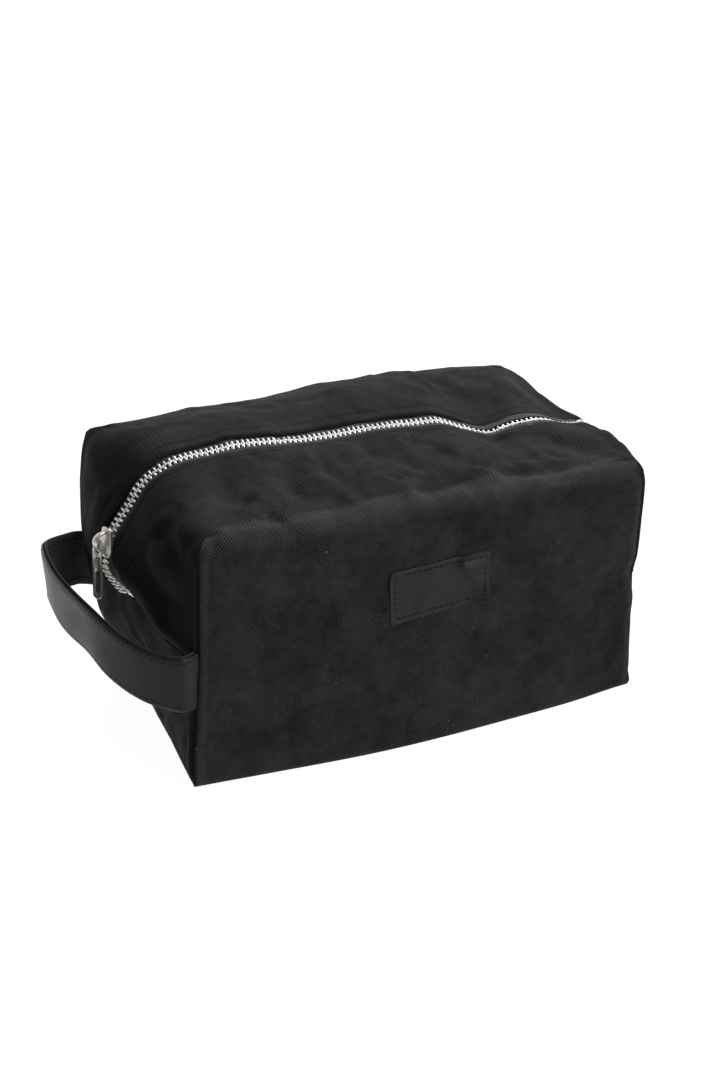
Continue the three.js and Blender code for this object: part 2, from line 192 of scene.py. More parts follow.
BASE_RADIUS = 5.0
BASE_FLAT = HALF_DEPTH - BASE_RADIUS
BASE_TURN = BASE_RADIUS * math.pi / 2
WALL_UP = WALL_TOP - FOLD_RADIUS - BASE_RADIUS
FOLD_TURN = FOLD_RADIUS * math.pi / 2
WALL_RUN = BASE_FLAT + BASE_TURN + WALL_UP + FOLD_TURN


def wall_section(run):
    """y, z from the middle of the base out, up the wall and over the fold."""
    if run < BASE_FLAT:
        return run, 0.0
    run -= BASE_FLAT
    if run < BASE_TURN:
        turn = run / BASE_RADIUS
        y = BASE_FLAT + BASE_RADIUS * math.sin(turn)
        return y, BASE_RADIUS * (1 - math.cos(turn))
    run -= BASE_TURN
    if run < WALL_UP:
        return HALF_DEPTH, BASE_RADIUS + run
    turn = (run - WALL_UP) / FOLD_RADIUS
    y = HALF_DEPTH - FOLD_RADIUS * (1 - math.cos(turn))
    return y, WALL_TOP - FOLD_RADIUS * (1 - math.sin(turn))


def wall(across, run, face):
    """Base and wall, before they settle: across goes from -1 at the left edge to 1 at the right."""
    y, z = wall_section(run)
    up = max(0.0, z - WALL_TOP + CORNER_RADIUS)
    corner = CORNER_RADIUS - math.sqrt(max(0.0, CORNER_RADIUS**2 - up**2))
    left = -HALF_LENGTH + corner + drawn_in(face * y, z) + tucked(z)
    right = HALF_LENGTH - corner - tucked(z)
    return np.array([mix(left, right, (across + 1) / 2), face * y, z])


def lower_end(side, y, z):
    """The lower half of an end, before it settles."""
    up = min(1.0, max(0.0, z / SEAM_HEIGHT))
    across = math.sin((HALF_DEPTH - abs(y)) / HALF_DEPTH * math.pi / 2)
    full = 3.1 * up**2 + (2.6 * math.sin(math.pi * up) if side > 0 else 0)
    edge = -HALF_LENGTH + drawn_in(y, z) if side < 0 else HALF_LENGTH
    return np.array([edge + side * (full * across - tucked(z)), y, z])


# Slack and creases: each is from, to, width and height, a ridge above nought and a valley below
CREASES = [
    ((66, -8, 136), (15, -47, 137), 5, 1.5),
    ((70, -8, 136), (58, -60, 134), 5, -2.0),
    ((80, -8, 132), (84, -62, 132), 4, 1.3),
    ((88, -8, 132), (106, -58, 131), 5, -1.6),
    ((104, -14, 132), (114, -60, 131), 4, 1.3),
    ((-40, -12, 142), (-46, -40, 139), 4, 1.5),
    ((-46, -40, 139), (-34, -66, 134), 4, 1.3),
    ((-55, -20, 141), (-62, -52, 137), 5, -1.7),
    ((-66, -36, 140), (-92, -62, 134), 5, 1.7),
    ((-88, -26, 140), (-108, -60, 132), 5, -1.5),
    ((-18, -12, 141), (-26, -62, 134), 4, 0.9),
    ((-4, -30, 139), (22, -58, 135), 4, -1.0),
    ((30, -62, 134), (72, -52, 133), 4, 1.0),
    ((72, 16, 138), (58, 62, 138), 8, -1.5),
    ((88, 10, 134), (108, 60, 134), 5, 1.4),
    ((50, 66, 140), (60, 26, 140), 4, 1.3),
    ((20, 14, 142), (38, 60, 141), 5, -1.1),
    ((-55, 49, 141), (-70, 76, 138), 5, 1.2),
    ((-100, 40, 139), (-84, 70, 138), 5, -1.2),
    ((18, -70, 132), (32, -77, 108), 5, 0.9),
    ((-84, -70, 132), (-98, -77, 110), 5, -1.0),
    ((-64, -77, 122), (-30, -77, 112), 6, 0.7),
    ((60, -77, 118), (105, -77, 96), 7, -1.0),
    ((118, -77, 112), (98, -77, 72), 5, 1.1),
    ((124, -77, 72), (92, -77, 56), 5, -1.9),
    ((122, -77, 58), (96, -77, 40), 6, 1.2),
    ((-118, -77, 112), (-102, -77, 72), 5, 0.8),
    ((-112, -77, 84), (-70, -77, 52), 7, 0.7),
    ((-120, -77, 34), (-88, -77, 20), 6, -0.9),
    ((-30, -77, 34), (30, -77, 16), 8, 0.7),
    ((-131, -60, 96), (-138, -18, 108), 6, -1.6),
    ((-129, -66, 112), (-134, -30, 122), 5, 1.4),
    ((-128, -66, 76), (-132, -24, 80), 5, 1.3),
    ((-124, -40, 60), (-116, 20, 30), 8, -2.2),
    ((-122, 20, 58), (-112, 60, 34), 8, 2.0),
    ((-120, -60, 44), (-118, -30, 14), 5, 1.2),
    ((-134, 24, 112), (-129, 66, 92), 6, -1.6),
    ((-137, 14, 122), (-128, 60, 124), 5, 1.4),
]
CREASE_FROM = np.array([start for start, _, _, _ in CREASES], float)
CREASE_WAY = np.array([end for _, end, _, _ in CREASES], float) - CREASE_FROM
CREASE_LENGTH = (CREASE_WAY**2).sum(axis=1)
CREASE_WIDTH = np.array([width for _, _, width, _ in CREASES], float)
CREASE_RISE = np.array([rise for _, _, _, rise in CREASES], float)


def creased(p, out):
    """The height of all the creases at a point, whose distance is measured along the cloth."""
    along = ((p - CREASE_FROM) * CREASE_WAY).sum(axis=1) / CREASE_LENGTH
    here = np.clip(along, 0, 1)
    gap = p - CREASE_FROM - CREASE_WAY * here[:, None]
    gap = gap - 0.8 * (gap @ out)[:, None] * out
    away = np.linalg.norm(gap, axis=1)
    ends = np.clip(np.minimum(along + 0.25, 1.25 - along) / 0.5, 0, 1)
    ends = ends * ends * (3 - 2 * ends)
    return float((CREASE_RISE * ends * np.exp(-((away / CREASE_WIDTH) ** 2))).sum())


def facets(p, size, seed):
    """Crumpled cloth: flat patches, each tilted its own way, that meet in soft ridges."""
    q = Vector((p[0] / size + seed, p[1] / size, p[2] / size))
    q += noise.noise_vector(q * 1.7) * 0.3
    distances, middles = noise.voronoi(q)
    height, total = 0.0, 0.0
    for distance, middle in zip(distances, middles):
        share = math.exp(-20 * (distance - distances[0]))
        tilt = noise.noise_vector(middle * 5.3 + Vector((seed, 0, 0)))
        height += share * (q - middle).dot(tilt)
        total += share
    return height / total


def beside_seam(p):
    """How far a point is from the nearest upright seam."""
    x, y, z = p
    edge = -HALF_LENGTH + drawn_in(y, z) if x < 0 else HALF_LENGTH
    over = max(0.0, z - WALL_TOP + CORNER_RADIUS)
    inside = 0.7 * over
    return math.hypot(abs(x - edge) - (inside if inside < abs(x - edge) else 0), HALF_DEPTH - abs(y))


def out_of(p):
    """Roughly straight out of the bag's rounded box."""
    inner = np.array([HALF_LENGTH - 26, HALF_DEPTH - 22, WALL_TOP - 24])
    core = np.array([np.clip(p[0], -inner[0], inner[0]), np.clip(p[1], -inner[1], inner[1]), 0.0])
    core[2] = np.clip(p[2], 24, inner[2])
    way = p - core
    length = np.linalg.norm(way)
    return way / length if length > 1e-6 else np.array([0.0, 0.0, 1.0])


def rumple(p, size, seed):
    return noise.noise(Vector((p[0] / size + seed, p[1] / size, p[2] / size)))


def settle(p):
    """Where a point of the stiff form comes to rest once the cloth has sagged and creased."""
    p = np.array(p, float)
    x, y, z = p
    shift = np.array([0.0, 0.0, 0.0])
    top = smooth((z - 96) / 36)
    high = smooth((z - 66) / 62)
    near_zip = math.exp(-((y / 34) ** 2))
    # The right shoulder lies flat and the left one is cut across
    shoulder = smooth((x - 38) / 38)
    shift[2] -= 0.88 * shoulder * max(0.0, z - 131.2)
    crest = 2.2 * bell(x, -65, 38) - 2 * smooth((x + 5) / 40) * (1 - smooth((x - 75) / 20))
    shift[2] += top * near_zip * (crest + 0.5 * math.sin(x / 15 + 0.6))
    shift[1] += top * near_zip * 0.9 * math.sin(x / 21)
    cut_across = bell(x, -131, 13) * bell(z, 122, 15) * near_zip
    shift[0] += 3.9 * cut_across
    shift[2] -= 2.6 * cut_across
    shift[0] -= 2.6 * bell(z, 90, 11) * smooth((-x - 100) / 20) * near_zip
    # The back of the top stands fuller than the front
    rear = smooth((y + 4) / 52)
    fuller = 5.8 + 6.2 * bell(x, 28, 62) + 2.6 * smooth((-x - 45) / 30)
    shift[2] += rear * high * fuller * (1 - smooth((x - 114) / 20))
    shift[2] -= 7.5 * high * bell(y, 20, 32) * bell(x, 124, 16)
    shift[0] += 1.6 * bell(y, -66, 16) * bell(z, 128, 14) * smooth((x - 100) / 20)
    shift[0] -= 4.5 * smooth((y - 20) / 50) * bell(z, 98, 42) * smooth((-x - 60) / 60)
    # Below the slider the cloth is drawn in and turns to face the front
    parting = bell(z, 75, 15) * smooth((-x - 100) / 20)
    shift[0] += parting * (3.0 * math.exp(-((y / 26) ** 2)) - 3.0 * y / 8 * math.exp(0.5 - (y / 8) ** 2 / 2))
    # It leans a little, bows out at the foot and lifts at the corners
    shift[0] -= 3.4 * (1 - z / WALL_TOP)
    bow = bell(x, -20, 95) * math.exp(-((z / 46) ** 2))
    shift[1] -= 9.0 * bow * smooth((-y - 20) / 50)
    shift[1] += 3.0 * bow * smooth((y - 20) / 50)
    for cx, cy, lift in ((-125, -77, 0.0), (125, -77, 3.0), (125, 77, 2.0), (-125, 77, 1.5)):
        corner = math.exp(-(((x - cx) / 26) ** 2) - ((y - cy) / 26) ** 2)
        shift[2] += lift * corner * (1 - smooth(z / 40))
    shift[0] -= 5.2 * smooth((-x - 60) / 60) * bell(y, -77, 40) * math.exp(-((z / 42) ** 2))
    way = out_of(p)
    height = 1.5 * rumple(p, 52, 3.1) + 0.6 * rumple(p, 23, 9.7)
    walls = 1 - 0.45 * smooth((abs(y) - 66) / 8) - 0.4 * rear * high - (0.25 + 0.3 * (1 - high)) * smooth((abs(x) - 112) / 10)
    height += (10.5 * facets(p, 36, 2.2) + 5.5 * facets(p, 17, 7.7) + 1.3 * facets(p, 9, 4.4)) * walls
    height += 1.6 * creased(p, way)
    height *= 1 - 0.75 * near_zip * smooth((z - 60) / 20)
    # The upright seams are pulled in, and the cloth stands full beside them
    away = beside_seam(p)
    if away < 12:
        fade = 1 - smooth((z - WALL_TOP + 12) / 10)
        full = 1.1 * math.exp(-(((away - 5) / 3) ** 2)) - 2.3 * math.exp(-((away / 1.7) ** 2))
        height += full * fade
    shift += way * height * smooth(z / 12)
    return p + shift


# ---------------------------------------------------------------------------------------------
# Meshes
# ---------------------------------------------------------------------------------------------


def mesh_object(name, points, faces, material, values=None):
    """A smooth mesh from points in millimetres, with a named vector stored on each point."""
    mesh = bpy.data.meshes.new(name)
    mesh.from_pydata([tuple(np.array(p) * MM) for p in points], [], faces)
    mesh.validate()
    for key, data in (values or {}).items():
        kept = mesh.attributes.new(key, "FLOAT_VECTOR", "POINT")
        kept.data.foreach_set("vector", np.array(data, np.float32).ravel())
    mesh.materials.append(material)
    piece = bpy.data.objects.new(name, mesh)
    bpy.context.scene.collection.objects.link(piece)
    smooth_shade(piece)
    return piece


def smooth_shade(piece):
    piece.data.polygons.foreach_set("use_smooth", [True] * len(piece.data.polygons))


def face_outwards(piece):
    build = bmesh.new()
    build.from_mesh(piece.data)
    bmesh.ops.recalc_face_normals(build, faces=build.faces)
    build.to_mesh(piece.data)
    build.free()
    return piece


def baked(piece, *modifiers):
    """Adds modifiers, each as its type and settings, and makes their result the mesh."""
    for kind, settings in modifiers:
        added = piece.modifiers.new(kind.title(), kind)
        for key, value in settings.items():
            setattr(added, key, value)
    view = bpy.context.evaluated_depsgraph_get()
    result = bpy.data.meshes.new_from_object(piece.evaluated_get(view))
    piece.modifiers.clear()
    old = piece.data
    piece.data = result
    bpy.data.meshes.remove(old)
    smooth_shade(piece)
    return piece


SUBDIVIDE = ("SUBSURF", {"levels": 1, "render_levels": 1})


def thicken(amount, offset=-1.0):
    settings = {"thickness": amount * MM, "offset": offset, "use_even_offset": False}
    return ("SOLIDIFY", settings)


def grid_faces(rows, columns, start=0, turned=False):
    faces = []
    for i in range(rows - 1):
        for j in range(columns - 1):
            a = start + i * columns + j
            quad = (a, a + 1, a + columns + 1, a + columns)
            faces.append(quad[::-1] if turned else quad)
    return faces


def swept(name, path, section, material, closed_ends=True, values=None):
    """A tube through frames: each is a place and two ways that the section's points are laid along."""
    points, marks = [], []
    count = len(section)
    for i, (place, side, up) in enumerate(path):
        for k, (a, b) in enumerate(section):
            points.append(place + side * a + up * b)
            marks.append((i, k, 0))
    faces = []
    for i in range(len(path) - 1):
        for k in range(count):
            a = i * count + k
            b = i * count + (k + 1) % count
            faces.append((a, b, b + count, a + count))
    if closed_ends:
        faces.append(tuple(range(count))[::-1])
        faces.append(tuple((len(path) - 1) * count + k for k in range(count)))
    return face_outwards(mesh_object(name, points, faces, material, values))


def oval(half_width, half_height, count=10, power=1.0):
    ring = []
    for k in range(count):
        turn = 2 * math.pi * k / count
        c, s = math.cos(turn), math.sin(turn)
        a = math.copysign(abs(c) ** power, c) * half_width
        b = math.copysign(abs(s) ** power, s) * half_height
        ring.append((a, b))
    return ring


def joined(name, pieces):
    """One object from several, with each one's materials kept."""
    build = bmesh.new()
    materials = []
    for piece in pieces:
        base = len(build.faces)
        build.from_mesh(piece.data)
        build.faces.ensure_lookup_table()
        for material in piece.data.materials:
            if material not in materials:
                materials.append(material)
        slot = {k: materials.index(m) for k, m in enumerate(piece.data.materials)}
        for face in build.faces[base:]:
            face.material_index = slot.get(face.material_index, 0)
    mesh = bpy.data.meshes.new(name)
    build.to_mesh(mesh)
    build.free()
    for material in materials:
        mesh.materials.append(material)
    for piece in pieces:
        bpy.data.objects.remove(piece)
    whole = bpy.data.objects.new(name, mesh)
    bpy.context.scene.collection.objects.link(whole)
    return whole


# ---------------------------------------------------------------------------------------------
# Materials
# ---------------------------------------------------------------------------------------------


class Wire:
    """A shader value that takes Python's operators: a sum on it adds Math nodes."""

    def __init__(self, tree, socket):
        self.tree = tree
        self.socket = socket

    def maths(self, operation, *others):
        return node(self.tree, "ShaderNodeMath", {"operation": operation}, [self, *others])

    def __add__(self, other):
        return self.maths("ADD", other)

    __radd__ = __add__

    def __sub__(self, other):
        return self.maths("SUBTRACT", other)

    def __rsub__(self, other):
        return node(self.tree, "ShaderNodeMath", {"operation": "SUBTRACT"}, [other, self])

    def __mul__(self, other):
        return self.maths("MULTIPLY", other)

    __rmul__ = __mul__

    def __truediv__(self, other):
        return self.maths("DIVIDE", other)

    def __pow__(self, other):
        return self.maths("POWER", other)

    def __abs__(self):
        return self.maths("ABSOLUTE")


def node(tree, kind, settings=None, inputs=None, output=0):
    """Adds any node: its settings first, then the values or wires of its sockets."""
    added = tree.nodes.new(kind)
    for key, value in (settings or {}).items():
        if key == "stops":
            ramp = added.color_ramp
            while len(ramp.elements) < len(value):
                ramp.elements.new(0.5)
            for stop, (place, colour) in zip(ramp.elements, value):
                stop.position = place
                stop.color = (*colour, 1.0) if isinstance(colour, tuple) else (colour,) * 3 + (1.0,)
        else:
            setattr(added, key, value)
    pairs = inputs.items() if isinstance(inputs, dict) else enumerate(inputs or [])
    for key, value in pairs:
        if isinstance(value, Wire):
            tree.links.new(value.socket, added.inputs[key])
        elif isinstance(value, tuple) and added.inputs[key].type == "RGBA" and len(value) == 3:
            added.inputs[key].default_value = (*value, 1.0)
        else:
            added.inputs[key].default_value = value
    return Wire(tree, added.outputs[output])


class Finish:
    """One material: a Principled surface and the few patterns that the finishes share."""

    def __init__(self, name, **surface):
        self.material = bpy.data.materials.new(name)
        self.material.use_nodes = True
        self.tree = self.material.node_tree
        self.surface = self.tree.nodes["Principled BSDF"]
        for key, value in surface.items():
            socket = self.surface.inputs[key.replace("_", " ")]
            socket.default_value = (*value, 1.0) if isinstance(value, tuple) else value

    def node(self, kind, settings=None, inputs=None, output=0):
        return node(self.tree, kind, settings, inputs, output)

    def place(self, scale=1.0):
        """The piece's own coordinates in millimetres, divided by scale."""
        own = self.node("ShaderNodeTexCoord", output=3)
        grown = 1 / (MM * scale)
        ways = {"operation": "SCALE"}
        return self.node("ShaderNodeVectorMath", ways, {0: own, "Scale": grown})

    def laid(self, key):
        """The three values stored on the mesh under a name."""
        kept = self.node("ShaderNodeAttribute", {"attribute_name": key}, output=1)
        return [self.node("ShaderNodeSeparateXYZ", None, [kept], k) for k in range(3)]

    def noise(self, size, detail=2.0, roughness=0.5, stretch=(1, 1, 1), distortion=0.0):
        """Soft noise from about 0 to 1 whose lumps are this many millimetres across."""
        ways = {"operation": "MULTIPLY"}
        where = self.node("ShaderNodeVectorMath", ways, [self.place(size), stretch])
        inputs = {"Vector": where, "Scale": 1.0, "Detail": detail}
        inputs.update({"Roughness": roughness, "Distortion": distortion})
        return self.node("ShaderNodeTexNoise", None, inputs)

    def cells(self, size, feature="F1", where=None):
        settings = {"feature": feature}
        vector = self.place(size) if where is None else where
        return self.node("ShaderNodeTexVoronoi", settings, {"Vector": vector, "Scale": 1.0})

    def ramp(self, value, low, high, to_low=0.0, to_high=1.0):
        inputs = [value, low, high, to_low, to_high]
        return self.node("ShaderNodeMapRange", {"interpolation_type": "SMOOTHSTEP"}, inputs)

    def blend(self, factor, a, b):
        inputs = {0: factor, 6: a, 7: b}
        return self.node("ShaderNodeMix", {"data_type": "RGBA"}, inputs, 2)

    def set(self, **wires):
        for key, value in wires.items():
            self.tree.links.new(value.socket, self.surface.inputs[key.replace("_", " ")])
        return self

    def raised(self, height, distance, strength=1.0):
        """Sends a height, worth this many millimetres from 0 to 1, to the Normal."""
        inputs = {"Height": height, "Distance": distance * MM, "Strength": strength}
        return self.set(Normal=self.node("ShaderNodeBump", None, inputs))


THREAD = 0.90


def waxed_canvas():
    finish = Finish("waxed_canvas", Roughness=0.8, Specular_IOR_Level=0.05, Sheen_Weight=0.012)
    along, up, top = finish.laid("cloth")
    # The wear values: rub (partly a painted highlight), painted shade at seams and grooves, and painted shade
    # over the ends.
    fold, seam, shaded_end = finish.laid("wear")
    drift = finish.noise(11, 2.0) * 0.5
    warp = ((along + drift) * (math.pi / THREAD)).maths("COSINE")
    weft = ((up + drift) * (math.pi / THREAD)).maths("COSINE")
    cross = warp * weft
    dots = finish.ramp(cross, -0.1, 0.85)
    ribs = finish.ramp(warp, -0.4, 0.9)
    weave = dots + (ribs - dots) * top * 0.4
    fibre = finish.noise(0.5, 3.0)
    cloud = finish.noise(34, 4.0, 0.6)
    streak = finish.noise(3.2, 3.0, 0.6)
    bare = finish.ramp(finish.noise(38, 3.0, 0.55), 0.46, 0.7, 0.04, 0.62)
    mottle = finish.noise(5, 5.0, 0.65)
    swirl = finish.node("ShaderNodeTexNoise", None, {"Vector": finish.place(14)}, 1)
    warped = finish.node("ShaderNodeVectorMath", {"operation": "ADD"}, [finish.place(31), swirl])
    crease = finish.ramp(finish.cells(31, "DISTANCE_TO_EDGE", warped), 0.0, 0.03, 1.0, 0.0)
    crease = crease * finish.ramp(finish.noise(24, 2.0), 0.52, 0.68)
    lint = finish.ramp(finish.cells(7.5), 0.06, 0.035) * finish.ramp(finish.noise(12), 0.55, 0.65)
    # Lighter along folds, feet and beside seams: partly wax rubbed off, partly a painted highlight on these
    # raised edges.
    rub_and_highlight = finish.ramp(fold * 0.95 + streak * 0.5, 0.55, 1.05)
    tone = 0.2 + (weave - 0.35) * (bare + rub_and_highlight * 0.9) * 0.75 + (cloud - 0.5) * 0.55 + (mottle - 0.5) * 0.42
    # Painted shade: the ends are darkened to stand for the light falling less on them.
    tone = (tone + (fibre - 0.5) * 0.2 + rub_and_highlight * 0.34 + crease * 0.3) * (1 - shaded_end * 0.85)
    pale = (0.054, 0.053, 0.052)
    cloth = finish.blend(tone.maths("MAXIMUM", 0.0), (0.0065, 0.0064, 0.0063), pale)
    # Painted shade: near black along the seams, the topstitch groove and under the turned edge.
    dark = finish.blend(seam * 0.7, cloth, (0.004, 0.004, 0.004))
    finish.set(Base_Color=finish.blend(lint * 0.8, dark, (0.22, 0.22, 0.215)))
    finish.set(Roughness=0.88 - cloud * 0.16 - crease * 0.1)
    height = weave * (0.25 + (bare + rub_and_highlight) * 0.4) + fibre * 0.3 + crease * 0.3
    return finish.raised(height, 0.42, 0.85).material


def plain_lining():
    finish = Finish("lining_cloth", Roughness=0.75, Sheen_Weight=0.1)
    along, up, _ = finish.laid("cloth")
    warp = (along * (math.pi / 0.55)).maths("COSINE")
    weft = (up * (math.pi / 0.55)).maths("COSINE")
    weave = abs(warp * weft)
    cloud = finish.noise(28, 3.0)
    tone = weave * 0.4 + cloud * 0.6
    finish.set(Base_Color=finish.blend(tone, (0.026, 0.025, 0.024), (0.062, 0.059, 0.055)))
    finish.set(Roughness=0.82 - cloud * 0.14)
    return finish.raised(weave, 0.12, 0.6).material


def woven_tape():
    finish = Finish("zip_tape", Roughness=0.85, Sheen_Weight=0.08)
    along, out, _ = finish.laid("cloth")
    twill = ((along + out * 0.9) * (math.pi / 0.75)).maths("COSINE")
    cord = (out * (math.pi / 1.1)).maths("COSINE")
    weave = abs(twill) * 0.7 + abs(cord) * 0.3
    fuzz = finish.noise(2.2, 3.0)
    tone = weave * 0.6 + fuzz * 0.4
    finish.set(Base_Color=finish.blend(tone, (0.0055, 0.0055, 0.0057), (0.022, 0.022, 0.0225)))
    finish.set(Roughness=0.92 - fuzz * 0.14)
    return finish.raised(weave, 0.2, 0.8).material


def metal(name, light, dull, roughness, wear=0.5):
    finish = Finish(name, Metallic=1.0, Roughness=roughness)
    cloud = finish.noise(4.0, 4.0, 0.6)
    scratch = finish.noise(1.2, 2.0, 0.5, (1, 9, 0.7))
    grime = finish.ramp(finish.noise(1.8, 3.0), 0.5, 0.72)
    tone = cloud * 0.5 + scratch * 0.25 + grime * wear
    finish.set(Base_Color=finish.blend(tone, light, dull))
    finish.set(Roughness=roughness * 0.7 + cloud * 0.12 + grime * 0.16)
    return finish.raised(scratch * 0.5 + cloud * 0.5, 0.03, 0.5).material


def grained_leather(name, dark, light, grain, roughness, edge_from=None, fuzz=0.0):
    """Leather with pebbled grain, pores and paler edges beyond edge_from across the piece, partly rubbed and
    partly a painted highlight, and a band of painted shade along the stitch line just inside them.
    """
    finish = Finish(name, Roughness=roughness, Specular_IOR_Level=0.24, Sheen_Weight=0.04 * fuzz)
    _, across, _ = finish.laid("cloth")
    pebble = finish.cells(grain)
    pores = finish.ramp(finish.noise(grain * 0.45, 3.0), 0.58, 0.7)
    cloud = finish.noise(16, 4.0, 0.6)
    nap = finish.noise(0.8, 5.0, 0.7, (1, 1, 2.2))
    tone = cloud * 0.55 + pebble * 0.3 + nap * (0.2 + 0.7 * fuzz) - pores * 0.15
    if edge_from is not None:
        # Painted shade: a darker band along the stitch line, about 2 mm inside edge_from.
        tone = tone - finish.ramp(abs(abs(across) - (edge_from - 2.1)), 1.0, 0.2) * 0.8
        # Paler edges: rubbed leather and partly a painted highlight.
        edge = finish.ramp(abs(across), edge_from, edge_from + 0.9)
        tone = tone + edge * 0.7
    finish.set(Base_Color=finish.blend(finish.ramp(tone, 0.15, 1.15), dark, light))
    finish.set(Roughness=roughness + 0.14 - cloud * 0.2 - pebble * 0.06)
    height = pebble * (0.5 - 0.4 * fuzz) + nap * (0.2 + 0.8 * fuzz) - pores * 0.2
    return finish.raised(height, 0.12 + 0.35 * fuzz, 0.75).material


def sewing_thread():
    finish = Finish("sewing_thread", Roughness=0.8, Specular_IOR_Level=0.15)
    along, turn, _ = finish.laid("cloth")
    twist = ((along * 1.6 + turn) * math.pi * 1.0).maths("SINE")
    fuzz = finish.noise(0.7, 3.0)
    tone = abs(twist) * 0.6 + fuzz * 0.4
    finish.set(Base_Color=finish.blend(tone, (0.0008, 0.0008, 0.0008), (0.004, 0.004, 0.004)))
    return finish.raised(abs(twist), 0.12, 0.8).material


CANVAS = waxed_canvas()
LINING = plain_lining()
TAPE = woven_tape()
TEETH = metal("zip_nickel", (0.94, 0.93, 0.91), (0.62, 0.60, 0.57), 0.36, 0.25)
NICKEL = metal("slider_nickel", (0.74, 0.72, 0.68), (0.46, 0.44, 0.40), 0.46, 0.3)
STRAP = grained_leather("strap_leather", (0.0018, 0.0018, 0.0018), (0.0088, 0.009, 0.009), 0.9, 0.42, 13.9)
FLESH = grained_leather(
    "strap_flesh_side", (0.004, 0.004, 0.004), (0.026, 0.026, 0.025), 0.7, 0.8, 13.6, 0.9
)
PATCH = grained_leather("label_leather", (0.0025, 0.0026, 0.0026), (0.0098, 0.01, 0.01), 0.7, 0.5, 13.8)
THREADS = sewing_thread()


# ---------------------------------------------------------------------------------------------
# Canvas and lining
# ---------------------------------------------------------------------------------------------

CORNER_STEPS = 28
TOP_STEPS = 90
STITCH_LINE = 0.925
ROLL_RADIUS = 0.8
ROLL_STEPS = 5
TURNED_UNDER = 4.5


def column_runs(ends, top):
    left = np.linspace(0, EDGE_CORNER, ends + 1)
    middle = list(np.linspace(EDGE_CORNER, EDGE_RUN - EDGE_CORNER, top + 1)[1:])
    extra = [(EDGE_CORNER + 0.8), EDGE_CORNER + 1.7] if top > 50 else []
    middle = sorted([*middle, *extra, *[EDGE_RUN - run for run in extra]])
    right = np.linspace(EDGE_RUN - EDGE_CORNER, EDGE_RUN, ends + 1)[1:]
    return [*left, *middle, *right]


def wall_runs(step):
    stops = [0, BASE_FLAT, BASE_FLAT + BASE_TURN, WALL_RUN - FOLD_TURN, WALL_RUN]
    counts = [max(3, round((b - a) / step)) for a, b in zip(stops, stops[1:])]
    counts[1] = counts[3] = 6
    runs = [0.0]
    for a, b, count in zip(stops, stops[1:], counts):
        runs += list(np.linspace(a, b, count + 1)[1:])
    return runs


def zip_out(run):
    """The way out of the bag on the zip's line."""
    x0, z0 = zip_point(run, 0.0)
    x1, z1 = zip_point(run, 1.0)
    return np.array([x1 - x0, 0.0, z1 - z0])


def half_shell(name, face, material, inset=0.0, ends=CORNER_STEPS, top=TOP_STEPS, step=2.6):
    """Base, wall, top and both upper ends on one side of the zip, as one welded sheet."""
    runs = column_runs(ends, top)
    across = [0, 0.012, 0.026, *np.linspace(0.045, 0.87, 21), 0.895, 0.91, STITCH_LINE, 0.94, 0.955, 0.975, 1.0]
    ups = wall_runs(step)[:-1]
    points, cloth, wear = [], [], []
    rolled = inset == 0

    def put(place, laid, rub_and_shade):
        spot = settle(place)
        if inset:
            spot = spot - out_of(place) * inset
        points.append(spot)
        cloth.append(laid)
        wear.append(rub_and_shade)

    for run in runs:
        laid = run - EDGE_RUN / 2
        for t in across:
            fold = math.exp(-((t * 66 / 6) ** 2))
            # How far into an end: painted shade for the end, less fold rub, and seam shade only there.
            shaded_end = 1 - smooth((min(run, EDGE_RUN - run) - EDGE_CORNER + 4) / 16)
            groove = bell(t, STITCH_LINE, 0.012) if rolled else 0.0
            place = crown(run, t, face) - zip_out(zip_run_at(run)) * 0.4 * groove
            seam = math.exp(-((t * 64 / 1.6) ** 2)) * shaded_end
            # Rub along the fold (partly a painted highlight), painted shade in the topstitch groove and the
            # seam, and painted shade over the ends.
            rub_and_shade = (fold * (1 - 0.6 * shaded_end), max(0.9 * groove, seam), shaded_end)
            put(place, (laid, WALL_RUN + t * 64, 1.0), rub_and_shade)
        if rolled:
            edge = place
            out = zip_out(zip_run_at(run))
            inward = np.array([0.0, -face, 0.0])
            middle = edge - out * ROLL_RADIUS
            for k in range(1, ROLL_STEPS + 1):
                turn = math.pi * k / ROLL_STEPS
                spot = middle + (out * math.cos(turn) + inward * math.sin(turn)) * ROLL_RADIUS
                # The roll gets some rub and painted shade; the strip turned under it gets more painted shade.
                put(spot, (laid, WALL_RUN + 64 + k * 0.5, 1.0), (0.35, 0.4, 0))
            spot = middle - out * ROLL_RADIUS - inward * TURNED_UNDER
            put(spot, (laid, WALL_RUN + 70, 1.0), (0, 0.8, 0))
    columns = len(across) + (ROLL_STEPS + 1 if rolled else 0)
    faces = grid_faces(len(runs), columns, 0, face > 0)
    first = ends
    last = len(runs) - 1 - ends
    base = len(points)
    for i in range(first, last + 1):
        part = 2 * (runs[i] - EDGE_CORNER) / EDGE_TOP - 1
        for up in ups:
            place = wall(part, up, face)
            fold = math.exp(-(((WALL_RUN - up) / 13) ** 2))
            foot = math.exp(-(((up - BASE_FLAT) / 5) ** 2))
            beside = beside_seam(place) if up > BASE_FLAT else 20.0
            edge = 0.8 * math.exp(-(((beside - 4) / 3) ** 2))
            # Rub on the fold, the foot and beside the seams (partly a painted highlight), and painted shade
            # right at the seams.
            rub_and_shade = (max(fold, 0.7 * foot, edge), math.exp(-((beside / 1.6) ** 2)), 0)
            put(place, (place[0], up, 0.0), rub_and_shade)
    rows = len(ups)
    faces += grid_faces(last - first + 1, rows, base, face > 0)
    for i in range(first, last):
        low = base + (i - first + 1) * rows - 1
        quad = (low, i * columns, (i + 1) * columns, low + rows)
        faces.append(quad[::-1] if face > 0 else quad)
    piece = mesh_object(name, points, faces, material, {"cloth": cloth, "wear": wear})
    return piece


